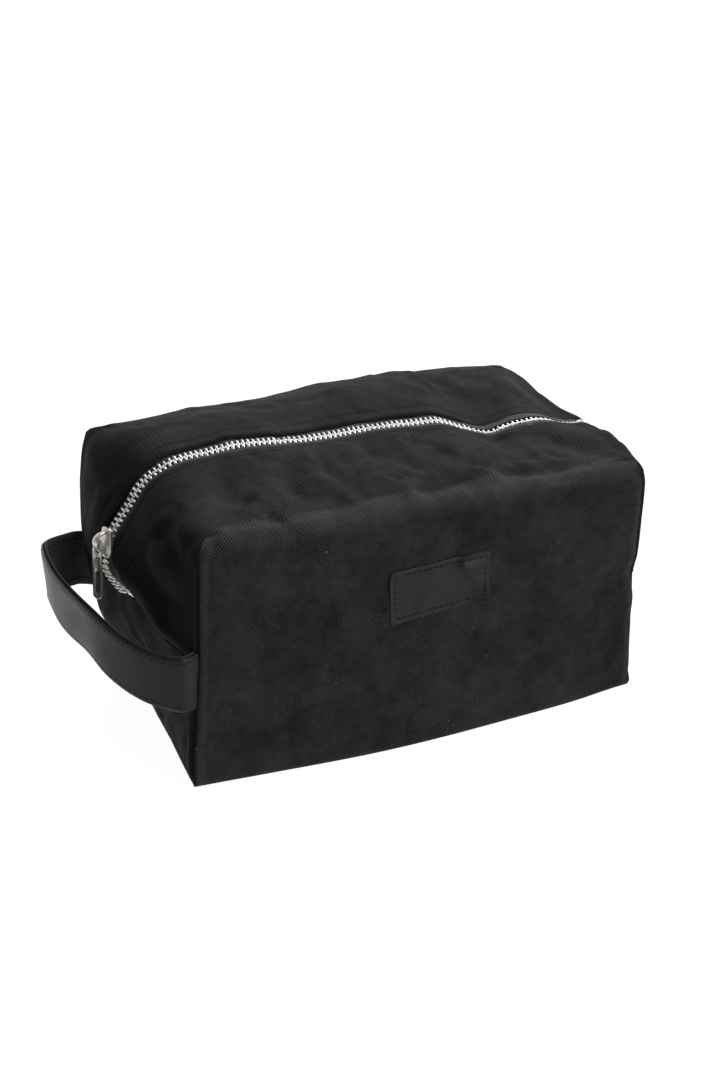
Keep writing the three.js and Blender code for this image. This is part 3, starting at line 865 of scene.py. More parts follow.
def split(piece, names):
    """Cuts a half shell at the fold and again across the top: wall, left top and right top."""
    mesh = piece.data
    laid = np.zeros(len(mesh.vertices) * 3, np.float32)
    mesh.attributes["cloth"].data.foreach_get("vector", laid)
    laid = laid.reshape(-1, 3)
    found = {}
    for label, name in names.items():
        build = bmesh.new()
        build.from_mesh(mesh)
        drop = []
        for face in build.faces:
            marks = laid[[v.index for v in face.verts]]
            above = marks[:, 1].mean() > WALL_RUN
            left = marks[:, 0].mean() < SPLIT_X
            kind = ("left" if left else "right") if above else "wall"
            if kind != label:
                drop.append(face)
        bmesh.ops.delete(build, geom=drop, context="FACES")
        part = bpy.data.meshes.new(name)
        build.to_mesh(part)
        build.free()
        part.materials.append(mesh.materials[0])
        made = bpy.data.objects.new(name, part)
        bpy.context.scene.collection.objects.link(made)
        smooth_shade(made)
        found[label] = made
    bpy.data.objects.remove(piece)
    return found


def over_fold(piece):
    """Bakes the piece's placement into its mesh."""
    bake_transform(piece)


def canvas_and_lining():
    for face, word in ((-1, "front"), (1, "back")):
        shell = half_shell(f"{word}_canvas", face, CANVAS)
        baked(shell, SUBDIVIDE, thicken(0.7))
        names = {"wall": f"canvas_{word}_wall", "left": f"canvas_{word}_top_left"}
        names["right"] = f"canvas_{word}_top_right"
        cut = split(shell, names)
        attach(cut["wall"], "bag")
        if face < 0:
            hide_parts(f"{word}_panel", "bottom_panel")
        else:
            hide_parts(f"{word}_panel")
        inner = half_shell(f"{word}_lining", face, LINING, 3.4, 16, 56, 4.5)
        baked(inner, SUBDIVIDE, thicken(0.4))
        names = {"wall": f"lining_{word}_wall", "left": f"lining_{word}_top_left"}
        names["right"] = f"lining_{word}_top_right"
        lined = split(inner, names)
        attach(lined["wall"], "bag")
        if face < 0:
            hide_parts(f"{word}_lining_node".replace("_node", ""), "bottom_lining")
        else:
            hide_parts(f"{word}_lining")
        for side, end in ((-1, "left"), (1, "right")):
            over_fold(cut[end])
            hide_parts(f"{word}_flap", f"{end}_end_{word}")
            over_fold(lined[end])
            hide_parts(f"{word}_flap_lining", f"{end}_end_{word}_lining")


def foot_depth(z):
    """How far from the middle the walls stand at a height, round their foot."""
    down = max(0.0, BASE_RADIUS - z)
    return BASE_FLAT + math.sqrt(max(0.0, BASE_RADIUS**2 - down**2))


def lower_ends():
    feet = [(7.0, 0.25), (3.5, 0.2), (1.4, 0.7), (0.5, 1.9)]
    heights = np.linspace(4, SEAM_HEIGHT - 0.7, 26)
    for side, end in ((-1, "left"), (1, "right")):
        for label, material, inset in (("canvas", CANVAS, 0.0), ("lining", LINING, 2.6)):
            points, cloth, wear = [], [], []
            places = [-1, -0.985, -0.965, *np.linspace(-0.94, 0.94, 52), 0.965, 0.985, 1]
            for share in places:
                for k in range(len(feet) + len(heights)):
                    if k < len(feet):
                        back, z = feet[k]
                    else:
                        back, z = 0.0, heights[k - len(feet)]
                    y = share * foot_depth(z)
                    place = lower_end(side, y, z) - np.array([side * back, 0, 0])
                    spot = settle(place)
                    if inset:
                        spot = spot - out_of(place) * inset
                        spot[2] = max(spot[2], 1.0)
                    points.append(spot)
                    cloth.append((y, z, 0.6))
                    # Rub at the foot (partly a painted highlight), painted shade under the end seam and beside
                    # the upright seams, and painted shade over the whole end piece.
                    seam = max(0.25 * bell(z, SEAM_HEIGHT, 1.6), bell(beside_seam(place), 0, 1.6))
                    wear.append((0.4 * math.exp(-((z / 4) ** 2)), seam, 1))
            rows = len(feet) + len(heights)
            faces = grid_faces(len(places), rows, 0, side < 0)
            name = f"{label}_{end}_end_lower"
            piece = mesh_object(name, points, faces, material, {"cloth": cloth, "wear": wear})
            face_outwards(piece)
            baked(piece, SUBDIVIDE, thicken(0.7 if inset == 0 else 0.4))
            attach(piece, "bag")
            node_name = f"{end}_end_lower" + ("" if label == "canvas" else "_lining")
            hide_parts(node_name)


canvas_and_lining()
lower_ends()


# ---------------------------------------------------------------------------------------------
# Seams
# ---------------------------------------------------------------------------------------------


def roll_path(places, ways):
    """Frames along settled places for swept(): each has a way across and the way out."""
    path = []
    for i, (place, way) in enumerate(zip(places, ways)):
        ahead = places[min(i + 1, len(places) - 1)] - places[max(i - 1, 0)]
        ahead = ahead / np.linalg.norm(ahead)
        out = way - ahead * np.dot(way, ahead)
        out = out / np.linalg.norm(out)
        path.append((place, np.cross(ahead, out), out))
    return path


def corner_seams():
    for side, end in ((-1, "left"), (1, "right")):
        for face, word in ((-1, "front"), (1, "back")):
            places, ways = [], []
            for up in np.linspace(BASE_FLAT - 3, BASE_FLAT + BASE_TURN + SEAM_HEIGHT - 6, 40)[:-1]:
                y, z = wall_section(up)
                x = side * HALF_LENGTH + (drawn_in(face * HALF_DEPTH, z) if side < 0 else 0)
                places.append(np.array([x - side * (0.8 + tucked(z)), face * y, max(z, 1.3)]))
                ways.append(np.array([side, face * 0.35, 0.0]))
            for run in np.linspace(0, EDGE_CORNER + 6, 36):
                x, z = edge_point(run)
                places.append(np.array([-side * x, face * wall_depth(z), z]))
                over = smooth((run - EDGE_UP) / EDGE_TURN)
                ways.append(np.array([side * (1 - 0.6 * over), face * 0.35, 1.2 * over]))
            count = len(places)
            settled, cloth = [], []
            for i, (place, way) in enumerate(zip(places, ways)):
                tail = smooth((count - 1 - i) / 9)
                lump = 0.25 * rumple(place, 7, 2.2)
                way = way / np.linalg.norm(way)
                settled.append(settle(place) + way * (0.1 + 0.5 * lump - 0.8 * (1 - tail)))
            path = roll_path(settled, ways)
            section = oval(1.0, 0.8, 12)
            for i in range(count):
                for a, b in section:
                    cloth.append((i * 2.0, math.atan2(b, a) * 1.4, 0.0))
            # The seam rolls get a little rub, painted seam shade and the ends' painted shade in full.
            wear = [(0.2, 0.6, 1.0)] * len(cloth)
            values = {"cloth": cloth, "wear": wear}
            name = f"seam_{word}_{end}"
            roll = swept(name, path, section, CANVAS, True, values)
            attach(roll, "bag")
            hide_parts(f"corner_binding_{word}_{end}")


def end_seams():
    for side, end in ((-1, "left"), (1, "right")):
        settled, ways, cloth = [], [], []
        for y in np.linspace(-HALF_DEPTH + 1, HALF_DEPTH - 1, 70):
            place = lower_end(side, y, SEAM_HEIGHT - 0.9)
            lump = 0.2 * rumple(place, 6, 8.8)
            settled.append(settle(place) + np.array([side * (0.5 * lump - 0.1), 0, 0]))
            ways.append(np.array([side, 0.0, -0.2]))
        section = oval(1.0, 0.6, 12)
        for i in range(len(settled)):
            for a, b in section:
                cloth.append((i * 2.2, math.atan2(b, a) * 1.3, 0.3))
        # The seam rolls get a little rub, painted seam shade and the ends' painted shade in full.
        wear = [(0.3, 0.2, 1.0)] * len(cloth)
        values = {"cloth": cloth, "wear": wear}
        roll = swept(f"seam_{end}_end", roll_path(settled, ways), section, CANVAS, True, values)
        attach(roll, "bag")
        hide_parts(f"end_binding_{end}")


corner_seams()
end_seams()


# ---------------------------------------------------------------------------------------------
# Stitching
# ---------------------------------------------------------------------------------------------


def stitched(name, track, pitch, length, sink=0.25, radius=0.32):
    """A row of stitches along a track of settled points, each with the way out of the cloth."""
    places = [np.array(p) for p, _ in track]
    gone = [0.0]
    for a, b in zip(places, places[1:]):
        gone.append(gone[-1] + float(np.linalg.norm(b - a)))

    def at(run):
        i = min(len(gone) - 2, max(0, int(np.searchsorted(gone, run)) - 1))
        t = (run - gone[i]) / max(1e-6, gone[i + 1] - gone[i])
        out = mix(np.array(track[i][1]), np.array(track[i + 1][1]), t)
        return mix(places[i], places[i + 1], t), out / np.linalg.norm(out)

    points, faces, cloth = [], [], []
    sides = 6
    profile = [(0.0, -1.0, 0.45), (0.16, 0.05, 0.95), (0.5, 0.35, 1.05), (0.84, 0.05, 0.95), (1.0, -1.0, 0.45)]
    for k in range(int((gone[-1] - length) / pitch)):
        start = 0.4 + k * pitch
        base = len(points)
        for step, (share, lift, wide) in enumerate(profile):
            place, out = at(start + share * length)
            ahead, _ = at(start + share * length + 0.2)
            way = ahead - place
            way = way / max(1e-9, np.linalg.norm(way))
            side = np.cross(way, out)
            middle = place + out * (lift * radius - sink * 0.4)
            for n in range(sides):
                turn = 2 * math.pi * n / sides
                ring = side * math.cos(turn) + out * math.sin(turn)
                points.append(middle + ring * radius * wide)
                cloth.append((share * length, n / sides, 0.0))
        for step in range(len(profile) - 1):
            for n in range(sides):
                a = base + step * sides + n
                b = base + step * sides + (n + 1) % sides
                faces.append((a, b, b + sides, a + sides))
        faces.append(tuple(base + n for n in range(sides))[::-1])
        end = base + (len(profile) - 1) * sides
        faces.append(tuple(end + n for n in range(sides)))
    piece = mesh_object(name, points, faces, THREADS, {"cloth": cloth})
    return face_outwards(piece)


def shell_track(face, t, from_run, to_run, lift=0.0, count=260):
    track = []
    for run in np.linspace(from_run, to_run, count):
        place = crown(run, t, face)
        out = out_of(place)
        track.append((settle(place) + zip_out(zip_run_at(run)) * lift, out))
    return track


def top_stitching():
    half = EDGE_RUN / 2
    for face, word in ((-1, "front"), (1, "back")):
        for side, end in ((-1, "left"), (1, "right")):
            runs = (3, half) if side < 0 else (half, EDGE_RUN - 3)
            track = shell_track(face, STITCH_LINE, *runs)
            row = stitched(f"topstitch_{word}_{end}", track, 3.3, 2.5, 0.3, 0.34)
            over_fold(row)


top_stitching()


# ---------------------------------------------------------------------------------------------
# Zip
# ---------------------------------------------------------------------------------------------

TOOTH_PITCH = 2.85
TEETH_FROM = 7.5
TEETH_TO = ZIP_RUN - 7.0
STRAP_OVER = 0.3


def zip_spot(run, aside, lift, face):
    """A settled point beside the zip's line, further out where the two rows have parted."""
    x, z = zip_point(run, lift + 0.9 * smooth((SLIDER_RUN - run) / 20))
    return settle(np.array([x, face * (aside + parted(run)), z]))


def middle_run():
    return ZIP_ARC + ZIP_TURN_X


def zip_tapes():
    asides = [2.7, 3.0, 3.5, 5.0, 6.8, 8.6, 10.4, 12.4]
    lifts = [0.0, 0.45, 0.2, 0.0, -0.4, -0.8, -1.1, -1.3]
    for face, word in ((-1, "front"), (1, "back")):
        for side, end in ((-1, "left"), (1, "right")):
            runs = (1.0, middle_run()) if side < 0 else (middle_run(), ZIP_RUN - 1.0)
            points, cloth = [], []
            stops = np.linspace(*runs, 100)
            for run in stops:
                for aside, lift in zip(asides, lifts):
                    points.append(zip_spot(run, aside, lift + 0.8, face))
                    cloth.append((run, aside, 0.0))
            faces = grid_faces(len(stops), len(asides), 0, face < 0)
            tape = mesh_object(f"zip_tape_{word}_{end}", points, faces, TAPE, {"cloth": cloth})
            baked(tape, SUBDIVIDE, thicken(0.7))
            over_fold(tape)
            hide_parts(f"zip_tape_{end}_{word}", f"zip_tape_top_{word}")


# Each tooth: distance from the middle, half its width along the zip, half its height
TOOTH = [
    (3.75, 0.40, 0.95),
    (3.55, 0.62, 1.30),
    (2.6, 0.66, 1.40),
    (1.5, 0.60, 1.36),
    (1.0, 0.44, 1.20),
    (0.5, 0.44, 1.15),
    (0.1, 0.62, 1.22),
    (-0.5, 0.62, 1.12),
    (-0.85, 0.40, 0.75),
]


def tooth(points, faces, run, face):
    base = len(points)
    sides = 8
    for aside, wide, tall in TOOTH:
        for k in range(sides):
            turn = 2 * math.pi * (k + 0.5) / sides
            c, s = math.cos(turn), math.sin(turn)
            along = math.copysign(abs(c) ** 0.6, c) * wide
            lift = math.copysign(abs(s) ** 0.6, s) * tall
            points.append((run + along, aside, lift))
    for i in range(len(TOOTH) - 1):
        for k in range(sides):
            a = base + i * sides + k
            b = base + i * sides + (k + 1) % sides
            faces.append((a, b, b + sides, a + sides))
    faces.append(tuple(base + k for k in range(sides))[::-1])
    last = base + (len(TOOTH) - 1) * sides
    faces.append(tuple(last + k for k in range(sides)))


def zip_teeth():
    for face, word in ((-1, "front"), (1, "back")):
        start = TEETH_FROM + (TOOTH_PITCH / 2 if face > 0 else 0)
        runs = list(np.arange(start, TEETH_TO, TOOTH_PITCH))
        for side, end in ((-1, "left"), (1, "right")):
            mine = [run for run in runs if (run < middle_run()) == (side < 0)]
            flat, faces = [], []
            for run in mine:
                tooth(flat, faces, run, face)
            points = [zip_spot(run, aside, lift + ZIP_RAISE, face) for run, aside, lift in flat]
            row = mesh_object(f"zip_teeth_{word}_{end}", points, faces, TEETH)
            face_outwards(row)
            over_fold(row)
            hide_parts(f"zip_teeth_{end}_{word}", f"zip_teeth_top_{word}")


def stop_block(name, runs, asides, tall, face):
    """A small clamped stop with rounded edges."""
    points, faces = [], []
    across = np.linspace(*asides, 5)
    for i, run in enumerate(np.linspace(*runs, 6)):
        pinch = 0.62 if i in (0, 5) else 1.0
        for j, aside in enumerate(across):
            edge = 0.7 if j in (0, 4) else 1.0
            x, z = zip_point(run, tall * pinch * edge)
            points.append(settle(np.array([x, face * (aside + parted(run) * (asides[0] > 0)), z])))
    top = len(points)
    for i, run in enumerate(np.linspace(*runs, 6)):
        pinch = 0.62 if i in (0, 5) else 1.0
        for j, aside in enumerate(across):
            edge = 0.7 if j in (0, 4) else 1.0
            x, z = zip_point(run, -tall * pinch * edge)
            points.append(settle(np.array([x, face * (aside + parted(run) * (asides[0] > 0)), z])))
    faces += grid_faces(6, 5)
    faces += grid_faces(6, 5, top, True)
    rim = [(i, 0) for i in range(6)] + [(5, j) for j in range(1, 5)]
    rim += [(i, 4) for i in range(4, -1, -1)] + [(0, j) for j in range(3, 0, -1)]
    for (i, j), (k, m) in zip(rim, rim[1:] + rim[:1]):
        a, b = i * 5 + j, k * 5 + m
        faces.append((a, b, b + top, a + top))
    block = face_outwards(mesh_object(name, points, faces, TEETH))
    baked(block, SUBDIVIDE)
    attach(block, "bag")
    return block


def zip_stops():
    for face, word in ((-1, "front"), (1, "back")):
        block = stop_block(f"zip_top_stop_{word}", (1.6, 6.0), (0.7, 3.7), 1.6, face)
        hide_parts(f"zip_top_stop_{word}")
    runs = (ZIP_RUN - 6.0, ZIP_RUN - 1.5)
    block = stop_block("zip_bottom_stop", runs, (-3.4, 3.4), 1.6, 1)
    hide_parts("zip_bottom_stop")


zip_tapes()
zip_teeth()
zip_stops()


# ---------------------------------------------------------------------------------------------
# Slider and pull tab
# ---------------------------------------------------------------------------------------------


def frame_matrix(x_way, z_way, origin):
    z_way = z_way / np.linalg.norm(z_way)
    x_way = x_way / np.linalg.norm(x_way)
    y_way = np.cross(z_way, x_way)
    rows = [[x_way[i], y_way[i], z_way[i], origin[i] * MM] for i in range(3)]
    return Matrix([*rows, [0, 0, 0, 1]])


OUT_OF_ZIP = np.array([-math.cos(SLIDER_ANGLE), 0.0, math.sin(SLIDER_ANGLE)])
DOWN_ZIP = np.array([-math.sin(SLIDER_ANGLE), 0.0, -math.cos(SLIDER_ANGLE)])
ZIP_CENTRE = np.array([-ZIP_TURN_X, 0.0, ZIP_TURN_Z])
SLIDER_SPOT = settle(ZIP_CENTRE + OUT_OF_ZIP * (ZIP_RADIUS + ZIP_RAISE))
SLIDER_TURN = math.radians(14)
TAB_TURN = math.radians(34)


def turned(way, angle):
    """A direction turned about the upright, towards the front."""
    c, s = math.cos(angle), math.sin(angle)
    return np.array([way[0] * c - way[1] * s, way[0] * s + way[1] * c, way[2]])


SLIDER_FRAME = frame_matrix(turned(DOWN_ZIP, SLIDER_TURN), turned(OUT_OF_ZIP, SLIDER_TURN), SLIDER_SPOT)


def plate(name, outline, low, high, material, bevel=0.3, segments=2):
    """A flat plate from an outline, with its rims rounded."""
    count = len(outline)
    points = [(x, y, low) for x, y in outline] + [(x, y, high) for x, y in outline]
    faces = [tuple(range(count))[::-1], tuple(range(count, 2 * count))]
    for i in range(count):
        k = (i + 1) % count
        faces.append((i, k, k + count, i + count))
    piece = face_outwards(mesh_object(name, points, faces, material))
    piece.data.polygons.foreach_set("use_smooth", [False] * len(piece.data.polygons))
    ways = {"width": bevel * MM, "segments": segments, "limit_method": "ANGLE"}
    return baked(piece, ("BEVEL", {**ways, "angle_limit": math.radians(40)}))


def slider_outline(grow=0.0):
    """Broad shoulders towards the open end, narrow where the rows leave closed."""
    half = [(-7.3, 0.0), (-7.3, 2.6), (-6.6, 3.6), (-3.0, 4.2), (1.5, 5.1), (4.6, 5.3)]
    half += [(6.6, 4.6), (7.5, 3.0), (7.3, 1.3), (6.6, 0.0)]
    side = [(x * (1 + grow / 7), y * (1 + grow / 5)) for x, y in half]
    return side + [(x, -y) for x, y in side[-2:0:-1]]


def cut(piece, cutter):
    baked(piece, ("BOOLEAN", {"object": cutter, "operation": "DIFFERENCE", "solver": "EXACT"}))
    bpy.data.objects.remove(cutter)
    return piece


def crown_bridge():
    """The domed bridge that holds the pull tab, broad in the middle and pinched at its feet."""
    points = []
    sections = 19
    ring = oval(1.0, 1.0, 12, 0.75)
    for i in range(sections):
        turn = math.pi * i / (sections - 1)
        x = -4.9 * math.cos(turn)
        z = 3.0 + 6.2 * math.sin(turn) ** 0.8
        bulge = math.sin(turn)
        wide = 1.15 + 1.15 * bulge
        thick = 0.85 - 0.12 * bulge
        out = np.array([-math.cos(turn) * 0.8, 0.0, math.sin(turn) + 0.15])
        out = out / np.linalg.norm(out)
        for a, b in ring:
            points.append(np.array([x, 0, z]) + np.array([0, 1, 0]) * a * wide + out * b * thick)
    faces = []
    for i in range(sections - 1):
        for k in range(12):
            a, b = i * 12 + k, i * 12 + (k + 1) % 12
            faces.append((a, b, b + 12, a + 12))
    faces.append(tuple(range(12))[::-1])
    faces.append(tuple((sections - 1) * 12 + k for k in range(12)))
    return baked(face_outwards(mesh_object("crown", points, faces, NICKEL)), SUBDIVIDE)


def slider_body():
    top = plate("top", slider_outline(), 1.75, 3.15, NICKEL, 0.45, 3)
    step = plate("step", slider_outline(-1.3), 3.1, 3.6, NICKEL, 0.25)
    under = plate("under", slider_outline(), -3.85, -2.45, NICKEL, 0.45, 3)
    post = plate("post", [(3.6, -0.7), (6.4, -0.35), (6.4, 0.35), (3.6, 0.7)], -2.6, 1.9, NICKEL, 0.15)
    parts = [top, step, under, post, crown_bridge()]
    for way in (-1, 1):
        rim = [(-6.6, way * 3.1), (-6.6, way * 3.75), (3.9, way * 5.15), (3.9, way * 4.4)]
        for low, high in ((0.95, 1.9), (-2.6, -1.65)):
            parts.append(plate("flange", rim, low, high, NICKEL, 0.12))
    slider = joined("slider_body_detailed", parts)
    slider.data.transform(SLIDER_FRAME)
    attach(slider, "slider")
    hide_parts("slider_body")


def slot_outline(half, low, high, steps=8):
    outline = []
    for k in range(steps + 1):
        turn = math.pi + math.pi * k / steps
        outline.append((half * math.cos(turn), low + half + half * math.sin(turn)))
    for k in range(steps + 1):
        turn = math.pi * k / steps
        outline.append((half * math.cos(turn), high - half + half * math.sin(turn)))
    return outline


TAB_LEAN = math.radians(3)


def tab_outline(shrink=0.0):
    half = 2.75 - shrink
    shoulder = 1.2 - shrink
    outline = []
    low = shoulder - 33 + 2 * shrink
    for k in range(13):
        turn = math.pi + math.pi * k / 12
        outline.append((half * math.cos(turn), low + half + half * math.sin(turn) * 0.9))
    outline += [(half, -7.0), (half * 0.9, -1.2), (half * 0.72, 0.6), (half * 0.4, shoulder)]
    outline += [(-half * 0.4, shoulder), (-half * 0.72, 0.6), (-half * 0.9, -1.2), (-half, -7.0)]
    return outline


def pull_tab():
    tab = plate("pull_tab_detailed", tab_outline(), -0.75, 0.75, NICKEL, 0.3, 3)
    for low, high, half in ((-6.8, -0.6, 1.45), (-29.3, -16.2, 1.3)):
        cut(tab, plate("cutter", slot_outline(half, low, high), -3, 3, NICKEL, 0.01, 1))
    for way in (-1, 1):
        deep = sorted((way * 0.5, way * 2.0))
        tray = plate("tray", slot_outline(1.75, -30.2, -8.6), *deep, NICKEL, 0.01, 1)
        cut(tab, tray)
    up = np.array([math.sin(TAB_LEAN), 0.0, math.cos(TAB_LEAN)])
    out = np.array([-math.cos(TAB_LEAN), 0.0, math.sin(TAB_LEAN)])
    pivot = SLIDER_SPOT + OUT_OF_ZIP * 6.8
    up, out = turned(up, TAB_TURN), turned(out, TAB_TURN)
    tab.data.transform(frame_matrix(np.cross(up, out), out, pivot))
    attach(tab, "pull_tab")
    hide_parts("pull_tab")


slider_body()
pull_tab()


# ---------------------------------------------------------------------------------------------
# Strap
# ---------------------------------------------------------------------------------------------

STRAP_WIDTH = 30.0
STRAP_REACH = 41.6
STRAP_HALF_SPAN = HALF_DEPTH + 3.2
STRAP_HEIGHTS = [59, 60, 65, 73, 75.5, 77.5, 70.5, 65, 63.5]
STRAP_EDGE = 2.7


def strap_height(share):
    """Centre height along the strap from its front root to its back root, on one smooth line."""
    reach = share * (len(STRAP_HEIGHTS) - 1)
    i = min(len(STRAP_HEIGHTS) - 2, int(reach))
    t = reach - i
    four = [STRAP_HEIGHTS[min(len(STRAP_HEIGHTS) - 1, max(0, i + k))] for k in (-1, 0, 1, 2)]
    a, b, c, d = four
    return 0.5 * (2 * b + (c - a) * t + (2 * a - 5 * b + 4 * c - d) * t**2 + (3 * b - a - 3 * c + d) * t**3)


def strap_frame(share):
    """Middle, way out and way up of the strap at a share of its length from the front root."""
    turn = (share - 0.5) * math.pi
    spread = math.copysign(abs(math.sin(turn)) ** 0.88, turn)
    root = smooth((abs(share - 0.5) - 0.43) / 0.07)
    x = -HALF_LENGTH - 1.6 - STRAP_REACH * math.cos(turn) + 1.8 * root
    y = (STRAP_HALF_SPAN - 5.2 * root) * spread
    middle = np.array([x, y, strap_height(share)])
    out = np.array([-math.cos(turn) / STRAP_REACH, math.sin(turn) / STRAP_HALF_SPAN, 0.0])
    out = out / np.linalg.norm(out)
    lean = math.radians(5.4) * math.cos(turn)
    up = np.array([0, 0, math.cos(lean)]) + out * math.sin(lean)
    through = out * math.cos(lean) + np.array([0, 0, -math.sin(lean)])
    return middle, through, up


def strap_lift(share, across):
    """Small waves in the leather, stronger along the lower edge."""
    low = 0.5 - across / STRAP_WIDTH
    wave = 0.7 * math.sin(share * 23 + 1.0) * low + 0.35 * math.sin(share * 41) * low
    return wave + 0.35 * rumple((share * 90, across, 0), 14, 6.6)


def strap_band(name, from_out, to_out, material, half, slack=0.0):
    """One ply, a rounded bar through the strap's frames, rubbed round at its edges."""
    points, cloth = [], []
    stops = np.linspace(0, 1, 110)
    ring = []
    middle_out = (from_out + to_out) / 2
    thick = abs(to_out - from_out) / 2
    for k in range(17):
        across = -half + 2 * half * k / 16
        ring.append((across, 1.0 if 0 < k < 16 else 0.45))
    for share in stops:
        middle, through, up = strap_frame(share)
        wave = slack * rumple((share * 60, 0, 3), 9, 1.4)
        for sign in (1, -1):
            for across, full in ring if sign > 0 else ring[::-1]:
                lift = middle_out + sign * thick * full + strap_lift(share, across) + wave
                points.append(middle + up * across + through * lift)
                cloth.append((share * 190, across, float(sign)))
    columns = 2 * len(ring)
    faces = []
    for i in range(len(stops) - 1):
        for k in range(columns):
            a, b = i * columns + k, i * columns + (k + 1) % columns
            faces.append((a, b, b + columns, a + columns))
    faces.append(tuple(range(columns))[::-1])
    faces.append(tuple((len(stops) - 1) * columns + k for k in range(columns)))
    band = face_outwards(mesh_object(name, points, faces, material, {"cloth": cloth}))
    baked(band, SUBDIVIDE)
    return band


def strap_row(across):
    track = []
    for share in np.linspace(0.012, 0.988, 240):
        middle, through, up = strap_frame(share)
        place = middle + up * across + through * (1.72 + strap_lift(share, across))
        track.append((place, through))
    return track


def on_strap(piece):
    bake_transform(piece)


def strap():
    outer = strap_band("strap_leather_band", 0.1, 1.75, STRAP, STRAP_WIDTH / 2)
    inner = strap_band("strap_flesh_band", -1.6, 0.05, FLESH, STRAP_WIDTH / 2 + 0.75, 0.35)
    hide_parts("strap_leather")
    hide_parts("strap_backing")
    for piece, place in ((outer, "strap_leather"), (inner, "strap_backing")):
        on_strap(piece)
    for word, way in (("upper", 1), ("lower", -1)):
        across = way * (STRAP_WIDTH / 2 - STRAP_EDGE)
        row = stitched(f"strap_stitches_{word}", strap_row(across), 3.4, 2.6, 0.5, 0.3)
        on_strap(row)


strap()


# ---------------------------------------------------------------------------------------------
# Label
# ---------------------------------------------------------------------------------------------

label_low, label_high = box_mm("label_patch")
LABEL_MIDDLE = (label_low + label_high) / 2
LABEL_HALF = (label_high - label_low) / 2


def label_spot(u, w, lift):
    """A point on the label: u and w across and up its face, lift out of the wall."""
    corner = smooth((u - 17) / 11) * smooth((-w - 4) / 10)
    tilt = 0.063 * u + 1.4
    x = LABEL_MIDDLE[0] + u
    z = LABEL_MIDDLE[2] + w + tilt - 0.8 * corner
    base = settle(np.array([x, -HALF_DEPTH, z]))
    soft = settle(np.array([LABEL_MIDDLE[0], -HALF_DEPTH, LABEL_MIDDLE[2]]))
    y = min(base[1], mix(base[1], soft[1], 0.4)) - lift - 1.9 * corner
    return np.array([base[0], y, base[2]])


def label_patch():
    half_u, half_w = LABEL_HALF[0], LABEL_HALF[2]
    rim = [(0.0, 0.55), (0.35, 0.95), (0.9, 1.0)]
    us = [-half_u + a for a, _ in rim] + list(np.linspace(-half_u + 3, half_u - 3, 25))
    us += [half_u - a for a, _ in rim[::-1]]
    ws = [-half_w + a for a, _ in rim] + list(np.linspace(-half_w + 3, half_w - 3, 13))
    ws += [half_w - a for a, _ in rim[::-1]]
    points, cloth = [], []
    for sign in (1, -1):
        for i, u in enumerate(us):
            for j, w in enumerate(ws):
                edge = min(half_u - abs(u), half_w - abs(w))
                full = 0.55 if edge < 0.1 else (0.95 if edge < 0.5 else 1.0)
                dip = 0.5 * bell(edge, 3.0, 0.9)
                lift = (1.5 * full - dip) if sign > 0 else 0.15
                round_u = u * (1 - 0.012 * smooth((abs(w) - half_w + 2) / 2))
                round_w = w * (1 - 0.02 * smooth((abs(u) - half_u + 2) / 2))
                points.append(label_spot(round_u, round_w, lift))
                cloth.append((u, w, 0.0))
    rows, columns = len(us), len(ws)
    faces = grid_faces(rows, columns)
    second = rows * columns
    faces += grid_faces(rows, columns, second, True)
    rim_way = [(i, 0) for i in range(rows)] + [(rows - 1, j) for j in range(1, columns)]
    rim_way += [(i, columns - 1) for i in range(rows - 2, -1, -1)]
    rim_way += [(0, j) for j in range(columns - 2, 0, -1)]
    for (i, j), (k, m) in zip(rim_way, rim_way[1:] + rim_way[:1]):
        a, b = i * columns + j, k * columns + m
        faces.append((a, b, b + second, a + second))
    patch = mesh_object("label_patch_leather", points, faces, PATCH, {"cloth": cloth})
    baked(face_outwards(patch), SUBDIVIDE)
    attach(patch, "bag")
    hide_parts("label_patch")
    inset = 3.0
    corners = [(-1, -1), (1, -1), (1, 1), (-1, 1), (-1, -1)]
    for n, (a, b) in enumerate(zip(corners, corners[1:])):
        track = []
        for t in np.linspace(0.02, 0.98, 60):
            u = mix(a[0], b[0], t) * (half_u - inset)
            w = mix(a[1], b[1], t) * (half_w - inset)
            track.append((label_spot(u, w, 1.1), np.array([0.0, -1.0, 0.0])))
        row = stitched(f"label_stitches_{n + 1}", track, 3.1, 2.3, 0.2, 0.36)
        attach(row, "bag")
    loose = []
    for t in np.linspace(0, 1, 40):
        place = np.array([LABEL_MIDDLE[0] - half_u - 2.0, -HALF_DEPTH, mix(70.5, 98, t)])
        loose.append((settle(place) + np.array([0, -0.2, 0]), np.array([0.0, -1.0, 0.0])))
    row = stitched("wall_stitches", loose, 3.0, 2.2, 0.3, 0.28)
    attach(row, "bag")


label_patch()


# ---------------------------------------------------------------------------------------------
# Room, light and camera
# ---------------------------------------------------------------------------------------------

VIEW_TURN = math.radians(-25.0)
VIEW_RISE = math.radians(24.0)
VIEW_DISTANCE = 1.44
VIEW_TARGET = Vector((-0.002, 0.0, 0.0808))


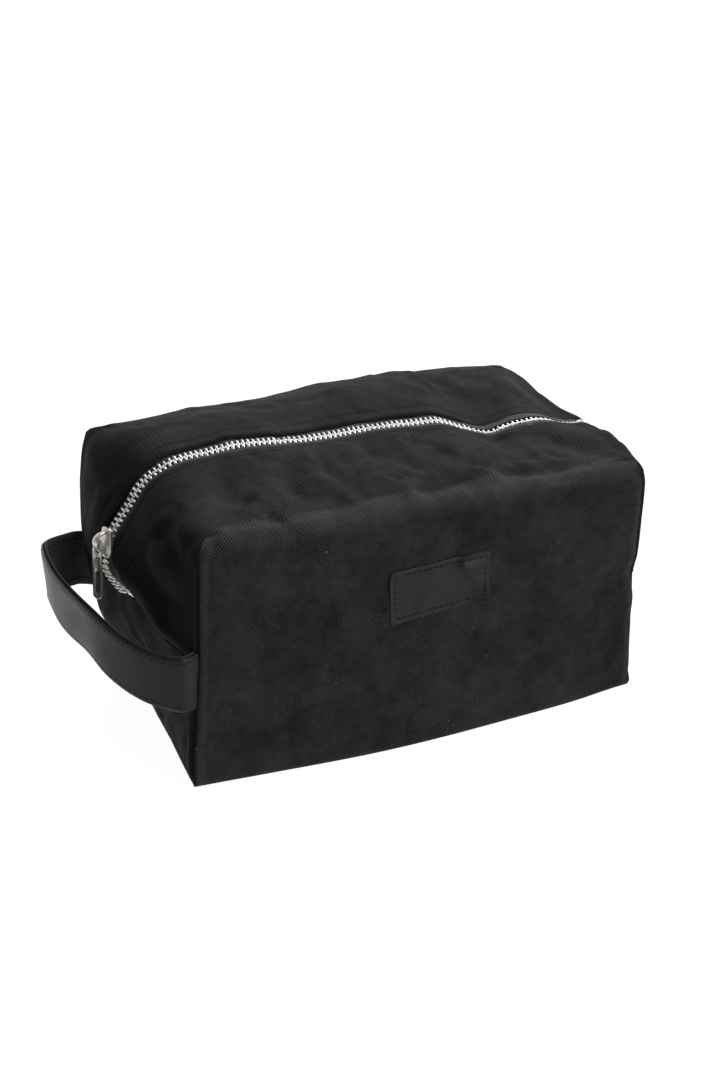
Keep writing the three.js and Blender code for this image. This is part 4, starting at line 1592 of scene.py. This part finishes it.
def room():
    finish = Finish("studio_white", Roughness=0.9, Specular_IOR_Level=0.0, Emission_Strength=1.0)
    cloud = finish.noise(400, 2.0)
    finish.set(Base_Color=finish.blend(cloud, (0.10, 0.10, 0.10), (0.12, 0.12, 0.12)))
    finish.set(Emission_Color=finish.blend(cloud, (0.97, 0.97, 0.97), (0.98, 0.98, 0.98)))
    steps = 24
    points = [(-3.0, -3.0, 0.0), (3.0, -3.0, 0.0)]
    for k in range(steps + 1):
        turn = math.pi / 2 * k / steps
        y, z = 1.6 + 1.2 * math.sin(turn), 1.2 * (1 - math.cos(turn))
        points += [(-3.0, y, z), (3.0, y, z)]
    points += [(-3.0, 2.8, 4.0), (3.0, 2.8, 4.0)]
    points = [(x / MM, y / MM, z / MM) for x, y, z in points]
    faces = [(2 * k, 2 * k + 1, 2 * k + 3, 2 * k + 2) for k in range(len(points) // 2 - 1)]
    sweep = mesh_object("studio_sweep", points, faces, finish.material)


def area_light(name, place, aim, size, power):
    data = bpy.data.lights.new(name, "AREA")
    data.shape = "RECTANGLE"
    data.size, data.size_y = size
    data.energy = power
    lamp = bpy.data.objects.new(name, data)
    lamp.location = place
    lamp.rotation_euler = (Vector(aim) - Vector(place)).to_track_quat("-Z", "Y").to_euler()
    bpy.context.scene.collection.objects.link(lamp)


def camera():
    data = bpy.data.cameras.new("camera")
    data.sensor_fit = "VERTICAL"
    data.sensor_height = 36.0
    data.lens = 90.0
    data.clip_start = 0.05
    away = Vector((math.sin(VIEW_TURN), -math.cos(VIEW_TURN), 0)) * math.cos(VIEW_RISE)
    away.z = math.sin(VIEW_RISE)
    eye = bpy.data.objects.new("camera", data)
    eye.location = VIEW_TARGET + away * VIEW_DISTANCE
    eye.rotation_euler = (-away).to_track_quat("-Z", "Y").to_euler()
    bpy.context.scene.collection.objects.link(eye)
    bpy.context.scene.camera = eye


def sky():
    world = bpy.data.worlds.new("studio")
    bpy.context.scene.world = world
    world.use_nodes = True
    world.node_tree.nodes["Background"].inputs["Color"].default_value = (1, 1, 1, 1)
    world.node_tree.nodes["Background"].inputs["Strength"].default_value = 0.12
    bpy.context.scene.view_settings.view_transform = "Standard"


room()
area_light("overhead", (1.25, 0.55, 1.9), (0.0, 0.0, 0.1), (1.5, 1.9), 72)
area_light("front_right", (1.0, -1.9, 1.0), (0, 0, 0.06), (1.0, 1.0), 36)
camera()
sky()
